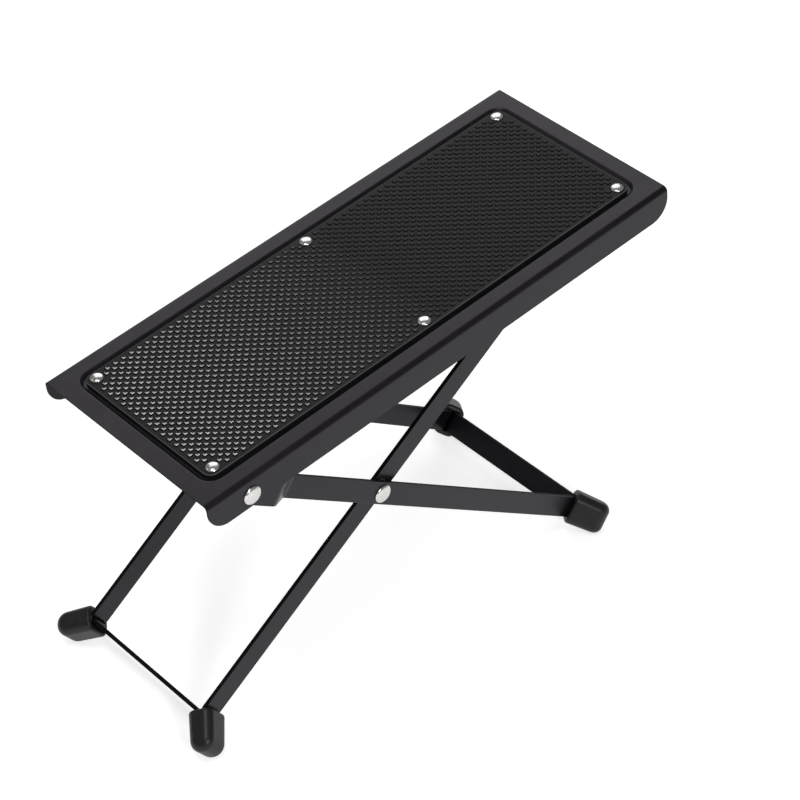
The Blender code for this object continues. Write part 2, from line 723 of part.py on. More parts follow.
def cap_body():
    """Whole foot cap along the X axis, with round sides, a rounded lip and a slight taper."""
    bm = lofted([cap_outline(-CAP_HALF_WIDTH), cap_outline(CAP_HALF_WIDTH)])
    bmesh.ops.recalc_face_normals(bm, faces=bm.faces)
    sides = []
    for edge in bm.edges:
        first, second = (vert.co for vert in edge.verts)
        at_mouth = max(first.x, second.x) < MERGE_DISTANCE - CAP_MOUTH
        if abs(first.z - second.z) < MERGE_DISTANCE and not at_mouth:
            sides.append(edge)
    round_edges(bm, sides, CAP_SIDE_RADIUS, CAP_SIDE_STEPS)
    lip = []
    for edge in bm.edges:
        if all(vert.co.x < MERGE_DISTANCE - CAP_MOUTH for vert in edge.verts):
            lip.append(edge)
    round_edges(bm, lip, CAP_LIP_RADIUS, CAP_LIP_STEPS)
    root = CAP_TIP - CAP_TIP_RADIUS
    for vert in bm.verts:
        share = max(0.0, (root - vert.co.x) / (root + CAP_MOUTH))
        widening = 1 + (CAP_MOUTH_SHARE - 1) * share
        vert.co.y *= widening
        vert.co.z *= widening
    return bm


def cap_mesh(name, down, sole_distance):
    """Foot cap cut flat where it stands on the floor."""
    bm = cap_body()
    everything = bm.verts[:] + bm.edges[:] + bm.faces[:]
    cut = bmesh.ops.bisect_plane(
        bm,
        geom=everything,
        dist=MERGE_DISTANCE,
        plane_co=Vector((STAND_REACH, 0.0, 0.0)) + down * sole_distance,
        plane_no=down,
        clear_outer=True,
    )
    rim = [item for item in cut["geom_cut"] if isinstance(item, bmesh.types.BMEdge)]
    bmesh.ops.contextual_create(bm, geom=rim)
    return make_mesh(name, bm)


def pocket_mesh():
    """Cutter for the pocket in a cap, a close fit on the ear and flared at the mouth."""
    half_width = STRIP_WIDTH / 2 + FIT_GAP
    bottom = EAR_REACH + FIT_GAP
    loops = []
    for along, flare in ((-CAP_MOUTH - OVERRUN, POCKET_FLARE), (bottom, 0.0)):
        half = EAR_HALF_THICKNESS + FIT_GAP + flare
        loops.append([
            (along, -half, -half_width),
            (along, half, -half_width),
            (along, half, half_width),
            (along, -half, half_width),
        ])
    return make_mesh("cap_pocket", lofted(loops))


def build_foot_caps(frame_name, material, frame, leg_length, outer_half, sole_distance):
    """Two rubber caps on the ears of one frame."""
    pocket = pocket_mesh()
    down = Matrix.Rotation(-frame.rotation_euler.y, 3, "Y") @ Vector((0.0, 0.0, -1.0))
    for side_name, side in SIDES.items():
        angle = side * math.pi / 4
        name = f"foot_cap_{frame_name}_{side_name}"
        mesh = cap_mesh(name, Matrix.Rotation(-angle, 3, "Z") @ down, sole_distance)
        place = (leg_length, side * outer_half, 0.0)
        turn = (0.0, 0.0, angle)
        cap = add_piece(name, mesh, material, frame, place, turn)
        combine(cap, add_cutter(f"cap_pocket_{frame_name}_{side_name}", pocket, frame, place, turn))


def triangle_angle(near_side, other_side, far_side):
    """Angle between two sides of a triangle, from the length of its third side."""
    cosine = (near_side**2 + other_side**2 - far_side**2) / (2 * near_side * other_side)
    return math.acos(cosine)


def cap_drop(slope):
    """How far a whole cap reaches below its stand point, on a leg of the given slope."""
    tip = (CAP_TIP_RADIUS - CAP_SIDE_RADIUS) * math.sin(slope)
    along = CAP_TIP - CAP_TIP_RADIUS - STAND_REACH
    across = CAP_HALF_THICKNESS - CAP_TIP_RADIUS
    in_plane = (along + across) * DIAGONAL * math.sin(slope)
    upright = (CAP_HALF_WIDTH - CAP_SIDE_RADIUS) * math.cos(slope)
    return CAP_SIDE_RADIUS + tip + in_plane + upright


def stand_on_floor(stand):
    """Move the whole footrest so that the middle of its box's bottom is the origin."""
    bpy.context.view_layer.update()
    depsgraph = bpy.context.evaluated_depsgraph_get()
    corners = []
    for obj in bpy.data.objects:
        if obj.type == "MESH" and not obj.hide_render:
            solid = obj.evaluated_get(depsgraph)
            corners += [solid.matrix_world @ vert.co for vert in solid.data.vertices]
    for axis in range(2):
        values = [corner[axis] for corner in corners]
        stand.location[axis] -= (min(values) + max(values)) / 2
    stand.location[2] -= min(corner.z for corner in corners)
    bpy.context.view_layer.update()


def main():
    """Work out how the footrest stands, then build it piece by piece."""
    clear_scene()
    paint = make_material("black_paint", (0.042, 0.040, 0.045), 0.42, 0.1)
    rubber = make_material("black_rubber", (0.026, 0.026, 0.028), 0.6, 0.0)
    nickel = make_material("bright_nickel", (0.72, 0.71, 0.69), 0.2, 1.0)
    zinc = make_material("zinc_plate", (0.5, 0.5, 0.49), 0.35, 1.0)

    # Triangle of plate pivot, scissor rivet and rod
    seat_distance = math.hypot(ROD_SEAT_REACH, ROD_DROP)
    seat_droop = math.atan2(ROD_DROP, ROD_SEAT_REACH)
    rear_to_plate = triangle_angle(SCISSOR_REACH, seat_distance, ROD_REACH) + seat_droop
    front_to_plate = triangle_angle(ROD_REACH, seat_distance, SCISSOR_REACH) - seat_droop
    spread = rear_to_plate + front_to_plate

    # Slopes at which all four feet meet the floor
    rear_run = REAR_LEG - SCISSOR_REACH + STAND_REACH * DIAGONAL
    front_run = FRONT_LEG + STAND_REACH * DIAGONAL
    rear_slope = math.atan2(math.sin(spread), rear_run / front_run + math.cos(spread))
    front_slope = spread - rear_slope
    tread_slope = rear_to_plate - rear_slope

    rear_sole = cap_drop(rear_slope) - CAP_SOLE_CUT
    scissor_height = rear_run * math.sin(rear_slope) + rear_sole
    front_sole = scissor_height - front_run * math.sin(front_slope)
    pivot_height = scissor_height + SCISSOR_REACH * math.sin(rear_slope)
    scissor_place = (SCISSOR_REACH * math.cos(rear_slope), 0.0, scissor_height)
    pivot_place = (0.0, 0.0, pivot_height)

    stand = add_empty("stand", None, (0.0, 0.0, 0.0), 0.0)
    plate_frame = add_empty("plate_axes", stand, pivot_place, -tread_slope)
    rear_frame = add_empty("rear_leg_axes", stand, pivot_place, rear_slope)
    front_frame = add_empty("front_leg_axes", stand, scissor_place, math.pi - front_slope)

    rivet_cutter = build_rivet_cutter(plate_frame)
    build_top_plate(paint, plate_frame, rivet_cutter)
    build_rubber_mat(rubber, plate_frame, rivet_cutter)
    build_mat_rivets(nickel, plate_frame)
    build_racks(paint, plate_frame)
    build_rear_leg_frame(paint, rear_frame)
    build_front_leg_frame(paint, front_frame)
    build_plate_pivots(nickel, zinc, plate_frame, rear_frame)
    build_scissor_joints(nickel, zinc, rear_frame)
    build_height_rod(zinc, front_frame)
    build_foot_caps("rear", rubber, rear_frame, REAR_LEG, REAR_OUTER, rear_sole)
    build_foot_caps("front", rubber, front_frame, FRONT_LEG, FRONT_OUTER, front_sole)
    stand_on_floor(stand)


main()
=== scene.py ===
"""Dressed model of a folding guitar footrest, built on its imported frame.

Lengths are in metres and +Z is up. Each sub-assembly is shaped on the bench in the axes of the part that
carries it, the plate, the rear frame or the front frame, and is then set in place on the footrest.
"""

from __future__ import annotations

import sys
import json
import logging
import math
from collections.abc import Callable
from dataclasses import dataclass, field
from enum import Enum

import bmesh
import bpy
from mathutils import Matrix, Vector


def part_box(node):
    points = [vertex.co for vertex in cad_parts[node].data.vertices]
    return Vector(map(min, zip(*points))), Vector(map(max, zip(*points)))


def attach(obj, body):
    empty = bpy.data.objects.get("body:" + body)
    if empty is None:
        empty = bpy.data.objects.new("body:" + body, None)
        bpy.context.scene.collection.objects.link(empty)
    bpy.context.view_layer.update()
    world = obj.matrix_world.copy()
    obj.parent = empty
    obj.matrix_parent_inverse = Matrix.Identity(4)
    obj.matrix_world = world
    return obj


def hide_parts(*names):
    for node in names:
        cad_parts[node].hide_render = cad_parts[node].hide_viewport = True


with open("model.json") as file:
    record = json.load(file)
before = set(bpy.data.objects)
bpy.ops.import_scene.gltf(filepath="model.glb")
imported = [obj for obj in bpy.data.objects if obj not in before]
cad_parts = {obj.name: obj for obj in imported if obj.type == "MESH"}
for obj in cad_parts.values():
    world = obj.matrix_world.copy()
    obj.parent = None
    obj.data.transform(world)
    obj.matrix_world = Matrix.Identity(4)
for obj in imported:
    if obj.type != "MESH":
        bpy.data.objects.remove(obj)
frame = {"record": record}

LOG = logging.getLogger("footrest")
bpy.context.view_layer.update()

MM = 0.001
TINY = 0.01 * MM
HAIRLINE = 0.001 * MM
DIAGONAL = math.sqrt(0.5)
QUARTER_TURN = math.pi / 2
ORIGIN = Vector((0.0, 0.0, 0.0))
X_AXIS = Vector((1.0, 0.0, 0.0))
Y_AXIS = Vector((0.0, 1.0, 0.0))
Z_AXIS = Vector((0.0, 0.0, 1.0))

# Carries the near side to the far side
ACROSS = Matrix.Diagonal((1.0, -1.0, 1.0, 1.0))
# Stands a level sheet on edge, facing along X
ON_EDGE = Matrix((Z_AXIS, X_AXIS, Y_AXIS)).to_4x4()

# Angles between two faces: up to the first they are shaded as one, from the second on their edge is eased
SMOOTH_LIMIT = math.radians(34)
SHARP_LIMIT = math.radians(38)
EASE_STEPS = 2
# Share of a face's normal along an axis: at least this for a face that looks along the axis, for a top that
# lies level, and for a face that leans that way
FACING = 0.95
LEVEL = 0.97
TILTED = 0.3

PIN_SIDES = 40
TURNED_SIDES = 48


class Side(Enum):
    """The two long sides of the footrest, with their sign along Y."""

    NEAR = -1
    FAR = 1

    @property
    def label(self) -> str:
        """Word for this side in a piece's name."""
        return self.name.lower()


class Pick(Enum):
    """What an operator works on in edit mode."""

    VERTS = "VERT"
    EDGES = "EDGE"
    FACES = "FACE"


class Axis(Enum):
    """Axes of the bench, by their place in a point."""

    X = 0
    Y = 1
    Z = 2


class Mark(Enum):
    """Marks that are stored on a piece's faces, for its finish to read; they place painted shade and painted
    highlights.
    """

    # Cut edges, painted near black and dull as painted shade
    CUT_EDGE = "cut_edge"
    # Low and near stud flanks, painted pale as a painted highlight
    STUD_FLANK = "stud_flank"
    # Studs' feet and the lines along their low and near sides, painted near black as painted shadow
    STUD_FOOT = "stud_foot"
    # Rounding of the mat's upper edge, painted paler as a painted highlight
    MAT_EDGE = "mat_edge"


class Body(Enum):
    """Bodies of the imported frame, which the pieces ride on."""

    PLATE = "plate"
    REAR_LEGS = "rear_legs"
    FRONT_LEGS = "front_legs"


class Slot(Enum):
    """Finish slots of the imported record."""

    PLATE_PAINT = "plate_paint"
    FRAME_PAINT = "frame_paint"
    MAT_RUBBER = "mat_rubber"
    FOOT_RUBBER = "foot_rubber"
    RIVET_NICKEL = "rivet_nickel"
    ZINC_STEEL = "zinc_steel"


def to_mode(mode: str) -> None:
    """Go into object mode or edit mode."""
    bpy.ops.object.mode_set(mode=mode)


def lies_at(part: bmesh.types.BMEdge | bmesh.types.BMFace, axis: Axis, place: float) -> bool:
    """Say whether the whole of an edge or face lies at one place along an axis."""
    return all(abs(vert.co[axis.value] - place) < TINY for vert in part.verts)


def span(edge: bmesh.types.BMEdge, axis: Axis) -> float:
    """Distance from one end of an edge to the other along an axis."""
    return abs(edge.verts[0].co[axis.value] - edge.verts[1].co[axis.value])


def take_up(body: bpy.types.Object) -> None:
    """Select one object alone and make it the active one.

    Args:
        body: the object.
    """
    bpy.ops.object.select_all(action="DESELECT")
    body.select_set(True)
    bpy.context.view_layer.objects.active = body


def turn_outwards() -> None:
    """Merge the doubles of the mesh in edit mode and point every face outwards."""
    bpy.ops.mesh.select_all(action="SELECT")
    bpy.ops.mesh.remove_doubles(threshold=TINY)
    bpy.ops.mesh.normals_make_consistent(inside=False)


def bake_place(body: bpy.types.Object, place: Matrix) -> None:
    """Put the active object at a place and apply that place to its mesh."""
    body.matrix_world = place
    bpy.ops.object.transform_apply(location=True, rotation=True, scale=True)


def shade(body: bpy.types.Object, smooth: float) -> None:
    """Shade neighbouring faces as one up to an angle, with the large flat faces kept flat.

    Args:
        body: the active object.
        smooth: the angle.
    """
    bpy.ops.object.shade_smooth_by_angle(angle=smooth)
    bpy.ops.object.modifier_add(type="WEIGHTED_NORMAL")
    weighted = body.modifiers[-1]
    weighted.keep_sharp = True
    bpy.ops.object.modifier_apply(modifier=weighted.name)


class Workpiece:
    """One piece on the bench, shaped with edit-mode operators."""

    def __init__(self, name: str, kind: Pick) -> None:
        """Name the primitive that has just been added and select all of it in edit mode.

        Args:
            name: the piece's name.
            kind: verts, edges or faces.
        """
        self.body = bpy.context.object
        self.body.name = name
        self.body.data.name = name
        to_mode("EDIT")
        self.pick_all(kind)

    @staticmethod
    def _clear_bench() -> None:
        """Leave edit mode and deselect everything."""
        if bpy.context.object and bpy.context.object.mode != "OBJECT":
            to_mode("OBJECT")
        bpy.ops.object.select_all(action="DESELECT")

    @classmethod
    def sheet(cls, name: str, size: tuple[float, float], middle: Vector) -> "Workpiece":
        """Start from a level sheet.

        Args:
            name: the piece's name.
            size: length along X and width along Y.
            middle: the sheet's middle.

        Returns:
            The workpiece, in edit mode with the sheet selected.
        """
        cls._clear_bench()
        bpy.ops.mesh.primitive_plane_add(size=1.0)
        piece = cls(name, Pick.FACES)
        piece.scale(*size)
        piece.shift(middle)
        return piece

    @classmethod
    def ring(cls, name: str, radius: float, sides: int) -> "Workpiece":
        """Start from an open circle round the Z axis.

        Args:
            name: the piece's name.
            radius: the circle's radius.
            sides: number of its edges.

        Returns:
            The workpiece, in edit mode with the circle selected.
        """
        cls._clear_bench()
        bpy.ops.mesh.primitive_circle_add(radius=radius, vertices=sides)
        return cls(name, Pick.EDGES)

    def pick(self, kind: Pick, test: Callable[..., bool]) -> None:
        """Select what passes a test and nothing else.

        Args:
            kind: verts, edges or faces.
            test: takes one element and says whether it is wanted.
        """
        self.pick_none(kind)
        bm = bmesh.from_edit_mesh(self.body.data)
        elements = {Pick.VERTS: bm.verts, Pick.EDGES: bm.edges, Pick.FACES: bm.faces}[kind]
        for element in elements:
            if test(element):
                element.select_set(True)
        bm.select_flush_mode()
        bmesh.update_edit_mesh(self.body.data)

    def pick_all(self, kind: Pick) -> None:
        """Select the whole piece, to work on one kind of element."""
        bpy.ops.mesh.select_mode(type=kind.value)
        bpy.ops.mesh.select_all(action="SELECT")

    def pick_none(self, kind: Pick) -> None:
        """Deselect the whole piece, to work on one kind of element."""
        bpy.ops.mesh.select_mode(type=kind.value)
        bpy.ops.mesh.select_all(action="DESELECT")

    def shift(self, move: Vector) -> None:
        """Move the selection."""
        bpy.ops.transform.translate(value=move)

    def scale(self, along: float = 1.0, across: float = 1.0, up: float = 1.0) -> None:
        """Scale the selection about the bench's origin."""
        bpy.ops.transform.resize(value=(along, across, up), center_override=ORIGIN)

    def draw_out(self, move: Vector) -> None:
        """Extrude the selection and move the new part."""
        bpy.ops.mesh.extrude_region_move(TRANSFORM_OT_translate={"value": move})

    def swing(self, angle: float, centre: Vector, axis: Vector, steps: int) -> None:
        """Extrude the selection round an axis through a centre, right-handed, in a number of steps."""
        bpy.ops.mesh.spin(steps=steps, angle=angle, center=centre, axis=-axis)

    def inset(self, inwards: float, rise: float = 0.0, each: bool = False) -> None:
        """Inset the selected faces, together or each, and move the inner ones along their normals."""
        bpy.ops.mesh.inset(thickness=inwards, depth=rise, use_individual=each, use_even_offset=True)

    def round_corners(self, radius: float, segments: int) -> None:
        """Round the selected corners of a flat outline."""
        bpy.ops.mesh.bevel(offset=radius, segments=segments, affect="VERTICES", clamp_overlap=False)

    def round_edges(self, radius: float, segments: int) -> None:
        """Round the selected edges."""
        bpy.ops.mesh.bevel(offset=radius, segments=segments, affect="EDGES", clamp_overlap=False)

    def turned_step(self, rise: float, ratio: float = 1.0) -> None:
        """Extrude the selected ring along the Z axis, and widen or narrow it about that axis."""
        self.draw_out(Z_AXIS * rise)
        self.scale(ratio, ratio)

    def dome(self, radius: float, height: float, rings: int) -> None:
        """Close the selected ring with a dome whose section is a quarter of an ellipse.

        Args:
            radius: the ring's radius.
            height: the dome's height.
            rings: number of steps up to its pole.
        """
        wide, high = radius, 0.0
        for ring in range(1, rings):
            angle = QUARTER_TURN * ring / rings
            narrower, higher = radius * math.cos(angle), height * math.sin(angle)
            self.turned_step(higher - high, narrower / wide)
            wide, high = narrower, higher
        self.turned_step(height - high)
        bpy.ops.mesh.merge(type="CENTER")

    def modifier(self, kind: str, **settings: object) -> None:
        """Add a modifier and apply it.

        Args:
            kind: the modifier's type.
            **settings: its settings by name.
        """
        to_mode("OBJECT")
        bpy.context.view_layer.objects.active = self.body
        bpy.ops.object.modifier_add(type=kind)
        modifier = self.body.modifiers[-1]
        for setting, value in settings.items():
            setattr(modifier, setting, value)
        bpy.ops.object.modifier_apply(modifier=modifier.name)
        to_mode("EDIT")

    def wall(self, thickness: float, even: bool = True) -> None:
        """Give an open sheet its thickness on its inner side, kept even round sharp corners if wanted."""
        self.modifier("SOLIDIFY", thickness=thickness, offset=-1.0, use_even_offset=even)

    def ease_edges(self, radius: float, limit: float = SHARP_LIMIT) -> None:
        """Round every edge at which two faces meet at more than a limit."""
        self.modifier("BEVEL", width=radius, segments=EASE_STEPS, limit_method="ANGLE", angle_limit=limit)

    def cut_with(self, cutter: "Workpiece") -> None:
        """Cut away another workpiece and clear it from the bench."""
        self.modifier("BOOLEAN", operation="DIFFERENCE", solver="EXACT", object=cutter.body)
        bpy.data.objects.remove(cutter.body, do_unlink=True)

    def mark(self, mark: Mark, test: Callable[[Vector, Vector], bool]) -> None:
        """Store a mark of 1 on the faces that pass a test.

        Args:
            mark: the mark.
            test: takes a face's middle and its normal, both in the bench's axes.
        """
        to_mode("OBJECT")
        mesh = self.body.data
        marks = mesh.attributes.new(mark.value, "FLOAT", "FACE")
        for face, value in zip(mesh.polygons, marks.data):
            value.value = 1.0 if test(face.center, face.normal) else 0.0
        to_mode("EDIT")

    def laid_at(self, place: Matrix) -> "Workpiece":
        """Leave edit mode and lay the piece at a place, as a cutter.

        Args:
            place: matrix from the piece's axes to the bench.

        Returns:
            The piece itself.
        """
        to_mode("OBJECT")
        self.body.matrix_world = place
        return self

    def finish(self, axes: Matrix, smooth: float = SMOOTH_LIMIT) -> bpy.types.Object:
        """Shade the piece, set it in place and apply that place to its mesh.

        Args:
            axes: matrix from the bench to the footrest.
            smooth: angle up to which neighbouring faces are shaded as one.

        Returns:
            The finished object.
        """
        to_mode("OBJECT")
        take_up(self.body)
        shade(self.body, smooth)
        bake_place(self.body, axes)
        return self.body


def copy_of(original: bpy.types.Object, name: str, move: Matrix) -> bpy.types.Object:
    """Copy a finished piece with its own mesh.

    Args:
        original: the finished piece.
        name: the copy's name.
        move: matrix that carries the original to the copy's place.

    Returns:
        The copy, with its place in its mesh.
    """
    take_up(original)
    bpy.ops.object.duplicate(linked=False)
    twin = bpy.context.object
    twin.name = name
    twin.data.name = name
    bake_place(twin, move)
    if move.determinant() < 0:
        to_mode("EDIT")
        turn_outwards()
        to_mode("OBJECT")
        bpy.ops.mesh.customdata_custom_splitnormals_clear()
        shade(twin, SMOOTH_LIMIT)
    return twin


class Signal:
    """Output socket of a node, usable in Python sums."""

    def __init__(self, board: "NodeBoard", socket: bpy.types.NodeSocket) -> None:
        """Wrap a socket of a board's node."""
        self.board = board
        self.socket = socket

    def _sum(self, operation: str, first: "Signal | float", second: "Signal | float") -> "Signal":
        """Add the Math node for one operation."""
        return self.board.node("ShaderNodeMath", {"operation": operation}, {0: first, 1: second})

    def __add__(self, other: "Signal | float") -> "Signal":
        """Sum."""
        return self._sum("ADD", self, other)

    __radd__ = __add__

    def __sub__(self, other: "Signal | float") -> "Signal":
        """Difference."""
        return self._sum("SUBTRACT", self, other)

    def __rsub__(self, other: "Signal | float") -> "Signal":
        """Difference from a number."""
        return self._sum("SUBTRACT", other, self)

    def __mul__(self, other: "Signal | float") -> "Signal":
        """Product."""
        return self._sum("MULTIPLY", self, other)

    __rmul__ = __mul__


@dataclass(frozen=True)
class Grain:
    """Noise of one grain size, and the band of it that shows."""

    size: float
    detail: float = 2.0
    rough: float = 0.5
    low: float = 0.0
    high: float = 1.0


class NodeBoard:
    """Node tree of one material or world, with the sockets of a Mix node that mixes colours."""

    FIRST_COLOUR = 6
    SECOND_COLOUR = 7
    MIXED_COLOUR = 2

    def __init__(self, owner: bpy.types.Material | bpy.types.World) -> None:
        """Clear the owner's node tree.

        Args:
            owner: the material or world.
        """
        owner.use_nodes = True
        self.tree = owner.node_tree
        self.tree.nodes.clear()

    def node(
        self,
        kind: str,
        settings: dict[str, object] | None = None,
        inputs: dict[str | int, object] | None = None,
        output: str | int = 0,
    ) -> Signal:
        """Add a node.

        Args:
            kind: the node's type.
            settings: its settings.
            inputs: values or signals by socket name or number.
            output: the output socket that is wanted.

        Returns:
            The wanted output, or the first input of a node that closes the tree.
        """
        node = self.tree.nodes.new(kind)
        for setting, value in (settings or {}).items():
            setattr(node, setting, value)
        for key, value in (inputs or {}).items():
            if isinstance(value, Signal):
                self.tree.links.new(value.socket, node.inputs[key])
            else:
                node.inputs[key].default_value = value
        return Signal(self, (node.outputs or node.inputs)[output])

    def noise(self, place: Signal, grain: Grain) -> Signal:
        """Noise of a grain, from 0 to 1."""
        scale = {"Scale": 1.0 / grain.size, "Detail": grain.detail, "Roughness": grain.rough}
        return self.node("ShaderNodeTexNoise", {}, {"Vector": place, **scale})

    def band(self, value: Signal, low: float, high: float) -> Signal:
        """Stretch a signal so that low becomes 0 and high becomes 1, clamped."""
        inputs = {"Value": value, "From Min": low, "From Max": high}
        return self.node("ShaderNodeMapRange", {"clamp": True}, inputs)

    def patches(self, place: Signal, grain: Grain) -> Signal:
        """Patches of a grain: its noise, stretched over the band that shows."""
        return self.band(self.noise(place, grain), grain.low, grain.high)

    def blend(self, share: Signal | float, first: tuple, second: tuple) -> Signal:
        """Mix two colours by a share."""
        inputs = {0: share, self.FIRST_COLOUR: (*first, 1.0), self.SECOND_COLOUR: (*second, 1.0)}
        return self.node("ShaderNodeMix", {"data_type": "RGBA"}, inputs, self.MIXED_COLOUR)

    def overlay(self, share: Signal, first: Signal, second: Signal) -> Signal:
        """Mix two shaders by a share."""
        return self.node("ShaderNodeMixShader", {}, {0: share, 1: first, 2: second})

    def bump(self, height: Signal, depth: float, strength: float) -> Signal:
        """Bump from a height signal, with the depth in metres of a height of 1."""
        inputs = {"Height": height, "Distance": depth, "Strength": strength}
        return self.node("ShaderNodeBump", {}, inputs)

    def marked(self, mark: Mark) -> Signal:
        """Mark that was stored on a piece's faces."""
        return self.node("ShaderNodeAttribute", {"attribute_name": mark.value}, output="Fac")

    def skin(self, **sockets: object) -> Signal:
        """Add a Principled shader, with underscores for the spaces in its sockets' names."""
        inputs = {key.replace("_", " "): value for key, value in sockets.items()}
        return self.node("ShaderNodeBsdfPrincipled", {}, inputs)


class Finish:
    """A finish, made into a material by its own recipe."""

    name: str

    def recipe(self, board: NodeBoard, place: Signal) -> Signal:
        """Lay out the finish's nodes on a board, by Object coordinates, and give the finished shader."""
        raise NotImplementedError

    def material(self) -> bpy.types.Material:
        """Make the material.

        Returns:
            The material, closed with the recipe's shader.
        """
        material = bpy.data.materials.new(self.name)
        board = NodeBoard(material)
        place = board.node("ShaderNodeTexCoord", output="Object")
        board.node("ShaderNodeOutputMaterial", {}, {"Surface": self.recipe(board, place)})
        return material


@dataclass(frozen=True)
class SatinPaint(Finish):
    """Black satin paint with a fine orange peel and a little dust, and a near-black dull skin on cut edges as
    painted shade.
    """

    name: str = "black_satin_paint"
    colour: tuple[float, float, float] = (0.0056, 0.0048, 0.0066)
    dusty: tuple[float, float, float] = (0.0095, 0.0085, 0.0108)
    # Near-black colour of the cut edges: painted shade, not the paint's own colour
    shaded_edge_colour: tuple[float, float, float] = (0.0015, 0.0015, 0.0015)
    sheen: tuple[float, float, float] = (0.96, 0.88, 1.0)
    roughness: float = 0.29
    gloss: float = 0.3
    shaded_edge_roughness: float = 0.6
    shaded_edge_gloss: float = 0.1
    uneven: float = 0.05
    shaded_edge_uneven: float = 0.1
    clouds: Grain = Grain(18 * MM, detail=3.0, low=0.35, high=0.65)
    cloud_dust: float = 0.7
    specks: Grain = Grain(0.9 * MM, detail=1.0, low=0.62, high=0.75)
    speck_dust: float = 0.5
    rubs: Grain = Grain(7 * MM, detail=4.0, rough=0.6, low=0.45, high=0.7)
    peel: Grain = Grain(0.55 * MM, detail=1.0)
    peel_depth: float = 0.006 * MM
    peel_strength: float = 0.6

    def recipe(self, board: NodeBoard, place: Signal) -> Signal:
        """Lay out the paint's nodes.

        Args:
            board: the material's node tree.
            place: Object coordinates of the surface.

        Returns:
            The finished shader.
        """
        clouds = board.patches(place, self.clouds)
        specks = board.patches(place, self.specks)
        rubs = board.patches(place, self.rubs)
        peel = board.bump(board.noise(place, self.peel), self.peel_depth, self.peel_strength)
        dust = clouds * self.cloud_dust + specks * self.speck_dust
        face = board.skin(
            Base_Color=board.blend(dust, self.colour, self.dusty),
            Roughness=self.roughness + clouds * self.uneven - rubs * self.uneven,
            Specular_IOR_Level=self.gloss,
            Specular_Tint=(*self.sheen, 1.0),
            Normal=peel,
        )
        # Cut edges get a near-black, dull skin: painted shade that stands in for the dark they show
        edge = board.skin(
            Base_Color=board.blend(clouds, self.shaded_edge_colour, self.colour),
            Roughness=self.shaded_edge_roughness + clouds * self.shaded_edge_uneven,
            Specular_IOR_Level=self.shaded_edge_gloss,
            Normal=peel,
        )
        return board.overlay(board.marked(Mark.CUT_EDGE), face, edge)


@dataclass(frozen=True)
class FootRubber(Finish):
    """Black moulded rubber with a fine skin, lighter where dust and scuffs lie."""

    name: str = "foot_rubber"
    colour: tuple[float, float, float] = (0.012, 0.012, 0.013)
    dusty: tuple[float, float, float] = (0.024, 0.024, 0.026)
    roughness: float = 0.38
    gloss: float = 0.32
    uneven: float = 0.08
    scuffs: Grain = Grain(5 * MM, detail=4.0, rough=0.65, low=0.5, high=0.75)
    scuff_share: float = 0.5
    dust: Grain = Grain(0.5 * MM, low=0.58, high=0.75)
    dust_share: float = 0.4
    skin: Grain = Grain(0.25 * MM)
    skin_depth: float = 0.012 * MM
    skin_strength: float = 0.5

    def recipe(self, board: NodeBoard, place: Signal) -> Signal:
        """Lay out the rubber's nodes.

        Args:
            board: the material's node tree.
            place: Object coordinates of the surface.

        Returns:
            The finished shader.
        """
        scuffs = board.patches(place, self.scuffs)
        dust = board.patches(place, self.dust)
        pale = scuffs * self.scuff_share + dust * self.dust_share
        return board.skin(
            Base_Color=board.blend(pale, self.colour, self.dusty),
            Roughness=self.roughness + scuffs * self.uneven,
            Specular_IOR_Level=self.gloss,
            Normal=board.bump(board.noise(place, self.skin), self.skin_depth, self.skin_strength),
        )


